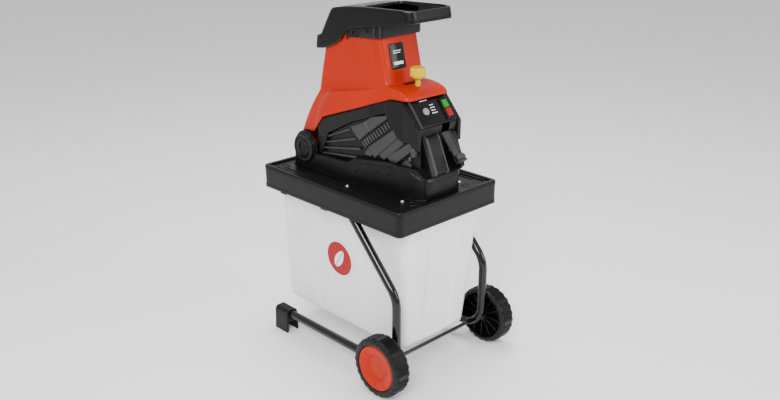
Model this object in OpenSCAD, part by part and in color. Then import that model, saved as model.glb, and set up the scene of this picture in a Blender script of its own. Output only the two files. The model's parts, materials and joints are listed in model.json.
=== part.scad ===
// Electric garden chipper standing on a collecting box, two wheels and two feet.
// X runs across the machine, -Y is the operator's side with the wheels, Z is up, the floor is Z = 0.

/* [Tray] */
// Width of the tray over its skirt
tray_w = 346; // [306:1:420]
// Length of the tray, front to rear
tray_l = 510; // [500:1:620]
// Height of the skirt's lower edge above the floor
tray_z = 410; // [330:1:520]
// Height of the skirt
tray_h = 60; // [54:1:72]
// Wall of the tray
tray_wall = 3.7; // [2.5:0.1:4.5]
// Height of the raised rim round the deck
rim_h = 5; // [3:0.5:8]
// Width of the raised rim
rim_w = 12; // [8:0.5:20]
// Corner radius of the tray
tray_r = 13; // [8:1:30]

/* [Frame] */
// Outer diameter of the frame tubes
tube_d = 22; // [18:0.5:27]
// Wall of the frame tubes
tube_wall = 1.5; // [1:0.1:2.5]
// Height of the lower tube run above the floor
tube_z = 52; // [46:1:62]
// Front-to-rear place of the upright tube run
tube_front_y = -231; // [-245:1:-215]
// Centre-line radius of the lower bend
bend_low_r = 60; // [50:1:70]
// Centre-line radius of the middle bend
bend_mid_r = 70; // [40:1:80]
// Centre-line radius of the upper bend
bend_top_r = 50; // [40:1:60]
// Slope of the leaning tube run from the level
lean = 47.2; // [44:0.1:52]
// Width of a foot
foot_w = 40; // [34:1:48]
// Length of a foot
foot_l = 54; // [40:1:70]
// Wall of a foot
foot_wall = 4; // [3:0.5:5]

/* [Wheels] */
// Outer diameter of the wheels
wheel_d = 152; // [130:1:160]
// Width of the wheels
wheel_w = 48; // [40:1:58]
// Diameter of the axle
axle_d = 10; // [8:0.5:12]
// Diameter of the coloured hub cap
cap_d = 115; // [100:1:118]
// Radial ribs on the inner side of a wheel
wheel_ribs = 12; // [6:1:18]

/* [Bin] */
// Height of the bin's floor above the axle
bin_gap = 1; // [0.6:0.1:6]
// Half-width lost from the bin's top to its floor
bin_taper = 15.5; // [8:0.5:22]
// Wall of the bin
bin_wall = 2.5; // [2:0.1:4]
// Thickness of the bin's rim
bin_rim_t = 5; // [3:0.5:7]
// Corner radius of the bin
bin_r = 26; // [16:1:40]
// Diameter of the round badge
badge_d = 104; // [70:1:120]

/* [Hopper] */
// Half-width of the hopper's neck
neck_hw = 65; // [60:0.5:68]
// Wall of the hopper and of the base shells
shell_wall = 3; // [2.5:0.1:4]
// Tilt of the cutter and of the joint line
tilt = 20; // [18:0.5:22]
// Wall of the hood
hood_wall = 4; // [3:0.5:5]
// Half-width of the hood
hood_hw = 74; // [72:0.5:80]

/* [Hinge and knob] */
// Diameter of the hinge bolts
hinge_d = 10; // [8:0.5:12]
// Diameter of the hinge caps
hinge_cap_d = 76; // [60:1:78]
// Diameter of the knob's head
knob_d = 38; // [30:1:44]
// Diameter of the knob's screw
knob_stem_d = 14; // [10:0.5:16]

/* [Cutter and motor] */
// Diameter of the blade disc
disc_d = 142; // [120:1:146]
// Thickness of the blade disc
disc_t = 6; // [4:0.5:8]
// Diameter of the motor shaft
shaft_d = 12; // [10:0.5:15]
// Diameter of the motor
motor_d = 84; // [76:1:88]
// Length of the motor's can
motor_l = 102; // [80:1:108]

/* [Controls] */
// Width of the switch frame
switch_w = 28; // [24:1:32]
// Height of the switch frame
switch_h = 54; // [48:1:60]
// Travel of the start and stop buttons
button_travel = 3; // [2:0.5:3.5]
// Diameter of the reset button
reset_d = 18; // [12:1:20]
// Width of the bin lock's slide
lock_w = 26; // [20:1:30]
// Travel of the bin lock
lock_travel = 24; // [15:1:26]

/* [Hidden] */
$fn = 48;
eps = 0.05;             // cut overshoot
snug = 0.1;             // gap between seated pieces of one body
gap = 0.3;              // gap between pieces that move past each other
run = 0.05;             // radial gap of a running fit

// Tray and frame
deck_z = tray_z + tray_h - rim_h;
deck_t = 4;
rim_inner_r = 4;        // least radius in the rim's inner corners
deck_bottom = deck_z - deck_t;
tube_r = tube_d / 2;
tube_x = tray_w / 2 - tray_wall - gap - tube_r;
tube_top_z = tray_z + tube_r + 11;
tube_top_end = 190;
lean_low = [tube_front_y, tray_z - 164.4];
lean_top = [tube_front_y + (tube_top_z - lean_low[1]) / tan(lean), tube_top_z];
foot_front = 175;
foot_top = tube_z + tube_r + 3;
clamp_ys = [18, 179];
clamp_w = tube_d;
clamp_l = 22;
clamp_bottom = tube_top_z - tube_r - 16;
screw_r = 2.5;

// Wheels: the axle runs through the middle of the lower bend
axle_r = axle_d / 2;
wheel_r = wheel_d / 2;
axle_z = wheel_r;
axle_angle = acos((tube_z + bend_low_r - axle_z) / bend_low_r);
axle_y = tube_front_y + bend_low_r - bend_low_r * sin(axle_angle);
spacer_t = 1.8;
wheel_x = tube_x + tube_r + snug + spacer_t + gap;
web_out = 28;
web_t = 6;
rim_in_r = 62;
tread_in = 4;
tread_side = 5;
rib_t = 3;
hub_r = 14;
cap_r = cap_d / 2;
cap_wall = 3;
// Front and back of the hub cap: radius and depth below the wheel's face
cap_pts = [[0, -10], [30, -10], [33, -5], [46, -2]];
cap_back_pts = [[46, -5], [34, -8], [31, -13], [0, -13]];
clip_t = 2;

// Bin and rails
rail_out = tube_x - tube_r - gap;
rail_t = 3;
rail_lip = 9;
rail_lip_t = 3.5;
rim_hw = rail_out - rail_t - gap;
bin_rim_end = 5;         // how far the rim stands out past the front and rear walls
bin_rim_over = 12;      // how far the rim stands out over the side walls
bin_hw = rim_hw - bin_rim_over;
bin_top = tray_z - 2;
rim_z = bin_top - bin_rim_t;
bin_floor = axle_z + axle_r + bin_gap;
bin_front = -tray_l / 2 + 14;
bin_rear = tray_l / 2 - 12;
bin_front_in = 31;
bin_rear_out = 1;

// Joint line between base and hopper, above the deck
seam_z0 = 184;
function seam(y) = seam_z0 - y * tan(tilt);
front_top = 231;
seam_front = (seam_z0 - front_top) / tan(tilt);
base_hw = 83;
pivot = [163, 56];
trough_r = 52;
cap_r_hinge = hinge_cap_d / 2;
skirt_hw = 95;
wing_hw = 98.5;
boss_face = 105.5;
apron_r = 44;
hinge_cap_t = 5.5;
hinge_dish_r = 18;
ear_in = 84;
ear_t = 6;
bolt_end = 4;           // how far the hinge bolt stands past its bracket
hinge_r = hinge_d / 2;

// Cutter axis, above the deck
rotor = [5, seam(5) - 25.2];
disc_r = disc_d / 2;
shaft_r = shaft_d / 2;
chamber_r = disc_r + 4;
chamber_wall = 3;
chamber_floor = -14;
chamber_rim = 14;
lid_t = 4;
lid_low = chamber_rim + 0.4;
lid_swing = 6;
motor_r = motor_d / 2;
shield_t = 14;
can_top = chamber_floor - shield_t;
can_wall = 2;
bearing_r = 16;
bearing_t = 9;
chute_hw = 38;
chute_wall = 3;
chute_front = 43;
chute_foot = 120;
feed_w = 88;
feed_d = 66;
feed_y = -24;
feed_top = 178;
feed_wall = 2.5;

// Control panel plane, from its upper edge
panel_top = [-163, 231];
panel_foot = [-212, 170];
panel_len = norm(panel_foot - panel_top);
panel_tilt = atan2(panel_top[0] - panel_foot[0], panel_top[1] - panel_foot[1]);
panel_hw = 64;
panel_t = 2;
panel_side = 4;
panel_end = 3;
switch_x = 46;
switch_v = 42;
reset_x = -22;
reset_v = 38;

// Bin lock
lock_x = 24;
lock_lean = 42;
lock_top = [-206, 148];
lock_len = 84;
lock_t = 4;
pillar_front = [[-198, 150], [-214, 146], [-245, 70], [-236, 58], [-198, 58]];

// Knob
knob_y = -141;
knob_z = 271;
knob_h = 28;
knob_end = 223;
knob_slot = 6;

tray_screw_at = [[121, -20], [100, -191]];

// Bent tube: each straight run laps a little way over the bends beside it, which are a hair thinner
bend_lap = 1;
bend_thin = 0.25;
tube_end_in = 7;

// Foot
foot_shoulder = 7;
foot_edge = 3;
foot_edge_h = 4;
foot_socket_in = 6;
foot_arch_drop = 10;

// Axle parts
axle_over = 3;
spacer_rim = 6;
clip_rim = 4;

// Screws
head_r = 5.5;
head_h = 3;
clamp_head_r = 5;
screw_l = 14;

// Rail ends and the stop across each rail's rear end
rail_end = 15;
stop_w = 10;
stop_t = 3;
stop_in = 12;

// Louvres behind the side grille: first place, step, and how each next one changes
louvre_n = 5;
louvre_y = 22;
louvre_step = 17;
louvre_z = 66;
louvre_rise = 2;
louvre_lean = 35;
louvre_w = 7;
louvre_h = 50;
louvre_short = 5;
fin_w = 5;
fin_out = 8;
fin_h = 62;

// Bands of the motor relief: first place, step, widths and heights
band_n = 4;
band_y = -52;
band_step = [-4, -28];
band_z = 166;
band_lean = 66;
band_wide = 20;
band_narrow = 12;
band_l = 92;
band_out = 7;

// Hinge brackets
strip_y = 118;
strip_l = 97;
strip_w = 24;
post_in = 16;
post_w = 26;
post_r = 16;

// Bin lock's guide, lip and thumb roll
guide_w = 8;
guide_h = 10;
guide_in = 12;
lock_room = 40;
lock_end = 6;
lip_out = 9;
lip_h = 6;
roll_r = 9;
roll_up = 12;
pillar_left = [-48, -2];
pillar_right = [42, 56];

// Switch and reset button
switch_lip = 3;
switch_deep = 22;
switch_rim = 4;
switch_land = 5;
switch_bar = 1;
button_deep = 10;
reset_deep = 8;
reset_out = 4;

// Boss under the knob and the interlock switch hung from it
boss_w = 40;
boss_l = 34;
boss_back = 15;
boss_t = 10;
boss_under = 12;
interlock_w = 18;
interlock_l = 24;
interlock_low = 206;
interlock_back = 9;

// Motor's inner pieces
winding_at = 24;
winding_l = 56;
stator_bore_r = 27;
armature_r = 26;
rear_shield_t = 8;
rear_shield_rim = 12;
fan_at = 20;
fan_hub_r = 12;
fan_h = 10;
fan_disc_r = 34;
fan_disc_t = 1.2;
fan_blade = [24, 1.6];
fan_blades = 12;
shaft_tail = 4;
capacitor_at = [-55, -104];
capacitor_r = 17;
capacitor_h = 62;
strap = [30, 6, 0.8];

// Blades on the disc
blade_in = 22;
blade_back = 20;
blade = [44, 18, 3.5];
blade_slot = [44, 12];
bolt_xs = [32, 54];
bolt_y = -13;
bolt_r = 3;
bolt_head = [4.5, 2];
nut_h = 3;
hub_nut_r = 9;
hub_nut_h = 5;
counter = [40, 13, 3];
counter_in = 3;
counter_drop = 6.2;

// Chute down through the tray
chute_back = 72;
chute_bend = [12, 84];
chute_high = 150;

// Power inlet
inlet_at = [-58, 218, 8];
inlet = [36, 8, 28];
inlet_rim = 5;

// Hopper outlines in the side plane
crease_pts = [[157, 190], [146, 203], [-20, 241], [-104, 258]];
deck_pts = [[-152, 248], [-178, 235], [-150, 231]];
seam_end = [138, 100];
seam_pts = [[-60, seam(-60)], [100, seam(100)], seam_end];
tail_pts = [[164, 156], [186, 122], [203, 80], [160, 80]];
neck_pts = [[-74, 380], [-104, 256], [-104, 240], [150, 180], [159, 186], [141, 243], [127, 309],
    [118, 340], [100, 380]];
neck_open_z = 370;
middle = [30, 150];
crease_in = 2;
deck_over = 5;
tail_in = 10;
seam_lift = 0.5;
tail_low = 79;
flank = [8, 60, 50];
flank_at = [-44, 10];
apron_low = [60, -28];
apron_high = [60, 40];

// Hood, collar and plate
hood_low_front = [-86, 393];
hood_low_rear = [27, 375];
band_t = 6;
band_h = 19;
hood_out = [[154, 312], [150, 345], [133, 350], [92, 418], [-20, 430], [-81, 434], [-150, 437], [-176, 438],
    [-184, 432], [-188, 412], [-182, 408], hood_low_front, hood_low_rear, [46, 350], [54, 343], [112, 318]];
hood_in = [[149, 300], [146, 341], [130, 346], [89, 413], [-24, 426], [-80, 426], [-80, 372], [12, 368],
    [44, 340], [56, 300]];
dish = [[-180, 500], [-176, 434], [-172, 418], [-90, 399], [-24, 399], [-24, 500]];
dish_rim = 3;
hood_screw_ys = [-40, 10];
hood_screw_r = 3;
plate_w = 47;
plate_h = 58;
plate_t = 1;
plate_x = -41;
plate_up = 36;
neck_lean = atan2(neck_pts[0][0] - neck_pts[1][0], neck_pts[0][1] - neck_pts[1][1]);
grip_r = 4;
grip_out = 2;
grip_step = 45;

// Badge
badge_y = 11;
badge_z = 262;
badge_t = 0.8;

origin_y = (axle_y - wheel_r + tray_l / 2) / 2;

// ---- placing helpers ----

module place() translate([0, -origin_y, 0]) children();
module deck() place() translate([0, 0, deck_z]) children();
module sideways(w) rotate([90, 0, 90]) linear_extrude(w, center = true) children();
module both() { children(); mirror([1, 0, 0]) children(); }
module at_side(side) { if (side < 0) mirror([1, 0, 0]) children(); else children(); }
module across(r, x0, x1) translate([x0, 0, 0]) rotate([0, 90, 0]) cylinder(r = r, h = x1 - x0);
module at_pivot() translate([0, pivot[0], pivot[1]]) children();
module at_rotor(s = 0) translate([0, rotor[0], rotor[1]]) rotate([-tilt, 0, 0]) translate([0, 0, s]) children();
module on_panel(x, v) {
    place_v = panel_top + (panel_foot - panel_top) * v / panel_len;
    translate([x, place_v[0], place_v[1]]) rotate([90 - panel_tilt, 0, 0]) children();
}
module on_lock() translate([lock_x, lock_top[0], lock_top[1]]) rotate([-lock_lean, 0, 0]) children();

module rounded(w, l, r) {
    square([w - 2 * r, l], center = true);
    square([w, l - 2 * r], center = true);
    for (x = [-1, 1], y = [-1, 1]) translate([x * (w / 2 - r), y * (l / 2 - r)]) circle(r);
}
module ring(r_out, r_in, h) difference() {
    cylinder(r = r_out, h = h);
    translate([0, 0, -eps]) cylinder(r = r_in, h = h + 2 * eps);
}
function both_sides(half) = concat(half, [for (i = [len(half) - 1:-1:0]) [-half[i][0], half[i][1]]]);

// ---- frame ----

// A run of round bar along a path in the YZ plane, with its corners bent to the given radii.
module bent_bar(pts, radii, r) {
    n = len(pts);
    function dir(i) = (pts[i + 1] - pts[i]) / norm(pts[i + 1] - pts[i]);
    function turn(i) = let (a = dir(i - 1), b = dir(i)) atan2(a[0] * b[1] - a[1] * b[0], a * b);
    function cut(i) = (i == 0 || i == n - 1) ? 0 : radii[i - 1] * tan(abs(turn(i)) / 2);
    for (i = [0:n - 2]) {
        d = dir(i);
        a = pts[i] + d * cut(i);
        len_i = norm(pts[i + 1] - pts[i]) - cut(i) - cut(i + 1);
        translate([0, a[0], a[1]]) rotate([atan2(d[1], d[0]) - 90, 0, 0])
            translate([0, 0, i > 0 ? -bend_lap : 0])
                cylinder(r = r, h = len_i + (i > 0 ? bend_lap : 0) + (i < n - 2 ? bend_lap : 0));
    }
    for (i = [1:n - 2]) {
        t = turn(i);
        d = dir(i - 1);
        side = sign(t);
        start = pts[i] - d * cut(i);
        centre = start + side * radii[i - 1] * [-d[1], d[0]];
        from = atan2(start[1] - centre[1], start[0] - centre[0]);
        translate([0, centre[0], centre[1]]) rotate([90, 0, 90]) rotate([0, 0, min(from, from + t)])
            rotate_extrude(angle = abs(t)) translate([radii[i - 1], 0]) circle(r - bend_thin);
    }
}

tube_path = [[foot_front + foot_l - tube_end_in, tube_z], [tube_front_y, tube_z], lean_low, lean_top,
    [tube_top_end, tube_top_z]];
tube_bends = [bend_low_r, bend_mid_r, bend_top_r];

module frame_tube(side) color([0.05, 0.05, 0.05]) place() at_side(side) translate([tube_x, 0, 0])
    difference() {
        bent_bar(tube_path, tube_bends, tube_r);
        bent_bar(tube_path, tube_bends, tube_r - tube_wall);
        translate([0, axle_y, axle_z]) across(axle_r + run, -tube_d, tube_d);
    }
module frame_left() frame_tube(-1);
module frame_right() frame_tube(1);

module foot(side) color([0.08, 0.08, 0.08]) place() at_side(side)
    translate([tube_x, foot_front + foot_l, 0]) rotate([90, 0, 0]) difference() {
        linear_extrude(foot_l) difference() {
            polygon([[-foot_w / 2, 0], [foot_w / 2, 0], [foot_w / 2 - foot_edge, foot_top - foot_edge_h],
                [foot_w / 2 - foot_shoulder, foot_top], [foot_shoulder - foot_w / 2, foot_top],
                [foot_edge - foot_w / 2, foot_top - foot_edge_h]]);
            translate([foot_wall - foot_w / 2, -1])
                square([foot_w - 2 * foot_wall, tube_z - tube_r - foot_arch_drop]);
        }
        translate([0, tube_z, foot_socket_in]) cylinder(r = tube_r + run, h = foot_l);
    }
module foot_left() foot(-1);
module foot_right() foot(1);

module axle() color([0.6, 0.6, 0.62]) place() translate([0, axle_y, axle_z])
    across(axle_r, -(wheel_x + web_out + clip_t + axle_over), wheel_x + web_out + clip_t + axle_over);
module axle_spacers() color([0.7, 0.7, 0.72]) place() both() translate([0, axle_y, axle_z])
    translate([tube_x + tube_r + snug, 0, 0]) rotate([0, 90, 0])
        ring(axle_r + spacer_rim, axle_r + run, spacer_t);
module axle_clips() color([0.7, 0.7, 0.72]) place() both() translate([0, axle_y, axle_z])
    translate([wheel_x + web_out + gap, 0, 0]) rotate([0, 90, 0])
        ring(axle_r + clip_rim, axle_r + run, clip_t);

// ---- tray ----

module tray() color([0.08, 0.08, 0.08]) place() difference() {
    translate([0, 0, tray_z]) linear_extrude(tray_h) rounded(tray_w, tray_l, tray_r);
    translate([0, 0, tray_z - 1]) linear_extrude(deck_bottom - tray_z + 1)
        rounded(tray_w - 2 * tray_wall, tray_l - 2 * tray_wall, tray_r - tray_wall);
    translate([0, 0, deck_z]) linear_extrude(rim_h + 1)
        rounded(tray_w - 2 * rim_w, tray_l - 2 * rim_w, max(tray_r - rim_w, rim_inner_r));
    translate([-chute_hw + chute_wall, chute_front + chute_wall, deck_bottom - 1])
        cube([2 * (chute_hw - chute_wall), chute_foot - chute_front - 2 * chute_wall, deck_t + 2]);
    both() for (p = tray_screw_at) translate([p[0], p[1], deck_bottom - 1])
        cylinder(r = screw_r + snug, h = deck_t + 2);
}

module tray_screws() color([0.75, 0.75, 0.77]) deck() both() for (p = tray_screw_at) translate([p[0], p[1], 0]) {
    translate([0, 0, snug]) cylinder(r = head_r, h = head_h);
    translate([0, 0, -screw_l]) cylinder(r = screw_r, h = screw_l + snug);
}

module frame_clamps() color([0.1, 0.1, 0.1]) place() both() for (y = clamp_ys) difference() {
    translate([tube_x - clamp_w / 2, y - clamp_l / 2, clamp_bottom])
        cube([clamp_w, clamp_l, deck_bottom - clamp_bottom]);
    translate([tube_x, y - clamp_l, tube_top_z]) rotate([-90, 0, 0]) cylinder(r = tube_r + run, h = 2 * clamp_l);
    translate([tube_x - clamp_w, y - clamp_l, tube_top_z - 1]) cube([2 * clamp_w, 2 * clamp_l, 2]);
    translate([tube_x, y, clamp_bottom - 1])
        cylinder(r = screw_r + snug, h = tube_top_z - tube_r - clamp_bottom + 2);
}
module clamp_screws() color([0.7, 0.7, 0.72]) place() both() for (y = clamp_ys)
    translate([tube_x, y, clamp_bottom]) {
        translate([0, 0, -head_h - snug]) cylinder(r = clamp_head_r, h = head_h);
        translate([0, 0, -snug - eps]) cylinder(r = screw_r, h = screw_l);
    }

module bin_rails() color([0.12, 0.12, 0.12]) place() both() {
    rail_bottom = rim_z - gap - rail_lip_t;
    rail_l = tray_l - 2 * tray_wall - 2 * rail_end;
    translate([rail_out - rail_t, -rail_l / 2, rail_bottom]) cube([rail_t, rail_l, deck_bottom - rail_bottom]);
    translate([rail_out - rail_lip - rail_t, -rail_l / 2, rail_bottom])
        cube([rail_lip + 1, rail_l, rail_lip_t]);
    translate([rail_out - stop_in, rail_l / 2 - stop_t, bin_top + stop_t])
        cube([stop_w, stop_t, deck_bottom - bin_top - stop_t]);
}

// ---- base ----

shoe_half = [[60, 218], [96, 214], [101, 196], [105, 104], [108, -12], [97, -80], [86, -168], [72, -206],
    [60, -222], [46, -230], [0, -231]];
shoe_high = 90;
shoe_side = [[-232, 0], [-232, 42], [-206, 76], [-130, 81], [-24, 70], [-8, 55], [110, 49], [219, 44], [219, 0]];
shoe_front = [[108, -1], [108, 58], [94, shoe_high]];
grille_t = 2;
grille_pts = [[104, 58], [98, seam(98) - 6], [-118, seam(-118) - 6], [-150, 84], [-24, 74], [-6, 60]];
upper_half = [[76, 218], [83, 200], [83, -70], [72, -130], [64, -168], [64, -250]];
upper_side = [[150, 0], [150, 90], [136, 97], [100, seam(100)], [seam_front, front_top], panel_top, panel_foot,
    [-201, 121], [-206, 60], [-206, 0]];

module shoe(w = 0) intersection() {
    translate([0, 0, -w]) linear_extrude(shoe_high) polygon(both_sides([for (p = shoe_half)
        [max(p[0] - w, 0), p[1] - sign(p[1]) * w]]));
    sideways(tray_w) polygon([for (p = shoe_side) [p[0] - sign(p[0]) * w, p[1] - w]]);
    rotate([90, 0, 0]) linear_extrude(tray_l, center = true)
        polygon(both_sides([for (p = shoe_front) [p[0] - w, p[1] - w]]));
}
module upper(w = 0) intersection() {
    translate([0, 0, -w]) linear_extrude(front_top + 2 * tray_h)
        polygon(both_sides([for (p = upper_half) [p[0] - w, p[1]]]));
    sideways(tray_w) polygon([for (p = upper_side) [p[0] + (p[0] < 0 ? w : -w), p[1] - w]]);
}
module pillars() {
    for (p = [pillar_left, pillar_right])
        translate([(p[0] + p[1]) / 2, 0, 0]) sideways(p[1] - p[0]) polygon(pillar_front);
}
// Hinge brackets: a strip on the deck with an upright plate at each end of the hopper's ears
module hinge_brackets() both() {
    translate([ear_in - strip_w, strip_y, snug])
        cube([wing_hw + 1 - ear_in + strip_w, strip_l, pivot[1] - trough_r - 1]);
    difference() {
        union() {
            translate([ear_in - ear_t, pivot[0] - post_in, snug]) cube([ear_t - gap, post_w, pivot[1]]);
            at_pivot() across(post_r, ear_in - ear_t, ear_in - gap);
            at_pivot() across(cap_r_hinge - 2, wing_hw, boss_face);
        }
        at_pivot() across(hinge_r + snug, 0, tray_w / 2);
    }
}
module base_cuts() {
    at_rotor(chamber_floor - gap) cylinder(r = chamber_r + chamber_wall + gap, h = disc_r);
    at_rotor(chamber_rim - 1) translate([0, lid_swing, 0])
        cylinder(r = chamber_r + chamber_wall + gap, h = disc_r);
    at_pivot() across(trough_r, -wing_hw, wing_hw);
    translate([-lock_w / 2 - gap, 0, 0]) on_lock()
        translate([0, -lock_room, -lock_len - lock_end])
            cube([lock_w + 2 * gap, lock_room + gap, lock_len + lock_travel + lock_end + 2]);
    translate([-guide_w / 2 - gap, 0, 0]) on_lock()
        translate([0, 0, -lock_len / 2 - guide_h / 2 - gap])
            cube([guide_w + 2 * gap, guide_in + 2, lock_travel + guide_h + 2 * gap]);
    for (y = [0, knob_slot]) translate([0, knob_y + y, interlock_low])
        cylinder(r = knob_stem_d / 2 + gap, h = knob_z - interlock_low);
    translate([-knob_stem_d / 2 - gap, knob_y, interlock_low])
        cube([knob_stem_d + 2 * gap, knob_slot, knob_z - interlock_low]);
    on_panel(switch_x, switch_v)
        translate([-switch_w / 2 + switch_lip, -switch_h / 2 + switch_lip, -switch_deep])
        cube([switch_w - 2 * switch_lip, switch_h - 2 * switch_lip, switch_deep + button_deep]);
    on_panel(reset_x, reset_v) translate([0, 0, -switch_deep])
        cylinder(r = reset_d / 2 + 2, h = switch_deep + button_deep);
    both() for (i = [0:louvre_n - 1])
        translate([base_hw / 2, louvre_y + louvre_step * i, louvre_z + louvre_rise * i])
            rotate([-louvre_lean, 0, 0]) cube([base_hw, louvre_w, louvre_h - louvre_short * i]);
}
module base_shell(side) color([0.1, 0.1, 0.1]) deck() intersection() {
    union() {
        difference() {
            union() {
                difference() {
                    union() { shoe(); upper(); pillars(); }
                    shoe(shell_wall);
                    upper(shell_wall);
                }
                translate([-boss_w / 2, knob_y - boss_back, front_top - boss_under])
                    cube([boss_w, boss_l, boss_t]);
            }
            base_cuts();
        }
        hinge_brackets();
    }
    translate([side > 0 ? 0 : -tray_w / 2, -tray_l / 2, -tray_h]) cube([tray_w / 2, tray_l, 2 * tray_w]);
}
module base_shell_left() base_shell(-1);
module base_shell_right() base_shell(1);

// Cooling fins and motor relief on each side of the base
module side_grille(side) color([0.14, 0.14, 0.14]) deck() at_side(side) intersection() {
    union() {
        sideways(2 * (base_hw + snug + grille_t)) polygon(grille_pts);
        for (i = [0:louvre_n - 1])
            translate([base_hw, louvre_y - fin_out + louvre_step * i, louvre_z - 2 + louvre_rise * i])
                rotate([-louvre_lean, 0, 0]) cube([fin_out, fin_w, fin_h - louvre_short * i]);
        for (i = [0:band_n - 1])
            translate([base_hw, band_y + band_step[0] * i, band_z + band_step[1] * i]) rotate([band_lean, 0, 0])
                cube([band_out - (i % 2) * 2, i % 2 == 0 ? band_wide : band_narrow, band_l]);
    }
    sideways(tray_w) polygon(grille_pts);
    translate([base_hw + snug, -tray_l / 2, 0]) cube([band_l, tray_l, 2 * tray_w]);
}
module side_grille_left() side_grille(-1);
module side_grille_right() side_grille(1);

module hinge_caps() color([0.12, 0.12, 0.12]) deck() both() at_pivot() difference() {
    across(cap_r_hinge, boss_face + snug, boss_face + hinge_cap_t);
    across(hinge_dish_r, boss_face + hinge_cap_t - 2, boss_face + hinge_cap_t + eps);
}
module hinge_bolts() color([0.7, 0.7, 0.72]) deck() both() at_pivot()
    across(hinge_r, ear_in - ear_t - bolt_end, boss_face);

module control_panel() color([0.07, 0.07, 0.07]) deck() difference() {
    on_panel(0, panel_len / 2) translate([-panel_hw + panel_side, -panel_len / 2 + panel_end, snug])
        cube([2 * (panel_hw - panel_side), panel_len - 2 * panel_end, panel_t]);
    on_panel(switch_x, switch_v)
        translate([-switch_w / 2 + switch_lip - snug, -switch_h / 2 + switch_lip - snug, -switch_deep])
            cube([switch_w - 2 * (switch_lip - snug), switch_h - 2 * (switch_lip - snug),
                switch_deep + button_deep]);
    on_panel(reset_x, reset_v) translate([0, 0, -switch_deep])
        cylinder(r = reset_d / 2 + gap, h = switch_deep + button_deep);
}
module switch_frame() color([0.04, 0.04, 0.04]) deck() on_panel(switch_x, switch_v) difference() {
    union() {
        translate([-switch_w / 2, -switch_h / 2, panel_t + 2 * snug]) cube([switch_w, switch_h, switch_rim]);
        translate([-switch_w / 2 + switch_lip + snug, -switch_h / 2 + switch_lip + snug, 2 - switch_deep])
            cube([switch_w - 2 * (switch_lip + snug), switch_h - 2 * (switch_lip + snug),
                switch_deep + panel_t]);
    }
    for (v = [0, -1]) translate([-switch_w / 2 + switch_land, key_y(v), -button_deep])
        cube([switch_w - 2 * switch_land, switch_h / 2 - switch_land, switch_deep + button_deep]);
}
// Lower edge of a key's opening: v is 0 for the upper key and -1 for the lower one
function key_y(v) = v * (switch_h / 2 - switch_land + switch_bar / 2) + (v < 0 ? -1 : 1) * switch_bar / 2;
module switch_button(v, c) color(c) deck() on_panel(switch_x, switch_v)
    translate([-switch_w / 2 + switch_land + gap, key_y(v) + gap, -button_deep + button_travel + gap])
        cube([switch_w - 2 * (switch_land + gap), switch_h / 2 - switch_land - 2 * gap,
            switch_deep - switch_lip * 2 + panel_t]);
module start_button() switch_button(0, [0.1, 0.6, 0.1]);
module stop_button() switch_button(-1, [0.8, 0.05, 0.05]);
module reset_button() color([0.7, 0.7, 0.72]) deck() on_panel(reset_x, reset_v)
    translate([0, 0, -reset_deep]) cylinder(r = reset_d / 2, h = reset_deep + panel_t + reset_out);

module bin_lock_slider() color([0.2, 0.2, 0.2]) deck() on_lock() {
    translate([-lock_w / 2, -lock_t, -lock_len]) cube([lock_w, lock_t, lock_len]);
    translate([-guide_w / 2, -1, -lock_len / 2 - guide_h / 2]) cube([guide_w, guide_in + 1, guide_h]);
    translate([-lock_w / 2, -lock_t - lip_out, -lock_len]) cube([lock_w, lip_out + 1, lip_h]);
    translate([-lock_w / 2, -lock_t, -lock_len + roll_up]) rotate([0, 90, 0]) cylinder(r = roll_r, h = lock_w);
}

// ---- motor and cutter ----

module motor_can() color([0.25, 0.27, 0.3]) deck() at_rotor(can_top - motor_l) difference() {
    cylinder(r = motor_r, h = motor_l);
    translate([0, 0, can_wall]) cylinder(r = motor_r - can_wall, h = motor_l);
    translate([0, 0, -1]) cylinder(r = bearing_r + snug, h = 5);
}
module motor_stator() color([0.5, 0.25, 0.1]) deck() at_rotor(can_top - motor_l + winding_at)
    ring(motor_r - can_wall - snug, stator_bore_r, winding_l);
module motor_end_shield() color([0.6, 0.6, 0.62]) deck() at_rotor(can_top + snug) difference() {
    cylinder(r = motor_r, h = shield_t - 2 * snug);
    translate([0, 0, -1]) cylinder(r = shaft_r + 2, h = shield_t + 2);
    translate([0, 0, -1]) cylinder(r = bearing_r + snug, h = bearing_t + 1 + snug);
}
module motor_rear_shield() color([0.6, 0.6, 0.62]) deck() at_rotor(can_top - motor_l - rear_shield_t)
difference() {
    cylinder(r = bearing_r + rear_shield_rim, h = rear_shield_t - snug);
    translate([0, 0, -1]) cylinder(r = shaft_r + 2, h = rear_shield_t + 2);
}
module shaft_bearings() color([0.75, 0.75, 0.77]) deck() {
    at_rotor(can_top + 2 * snug) ring(bearing_r, shaft_r + run, bearing_t - snug);
    at_rotor(can_top - motor_l) ring(bearing_r, shaft_r + run, bearing_t);
}
module run_capacitor() color([0.1, 0.1, 0.12]) deck() {
    translate([capacitor_at[0], capacitor_at[1], strap[2]]) cylinder(r = capacitor_r, h = capacitor_h);
    translate([capacitor_at[0] - strap[0] / 2, capacitor_at[1] - strap[1] / 2, snug]) cube(strap);
}
module cutting_chamber() color([0.3, 0.3, 0.32]) deck() difference() {
    at_rotor(chamber_floor) cylinder(r = chamber_r + chamber_wall, h = chamber_rim - chamber_floor);
    at_rotor(chamber_floor + chamber_wall) cylinder(r = chamber_r, h = disc_r);
    at_rotor(chamber_floor - 1) cylinder(r = shaft_r + 3, h = disc_r);
    intersection() {
        translate([-chute_hw + chute_wall, chute_front + chute_wall, chute_bend[0]])
            cube([2 * (chute_hw - chute_wall), disc_r, chute_high - chute_bend[0]]);
        at_rotor(chamber_floor - 1) cylinder(r = chamber_r, h = -chamber_floor + disc_t);
    }
}
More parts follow.
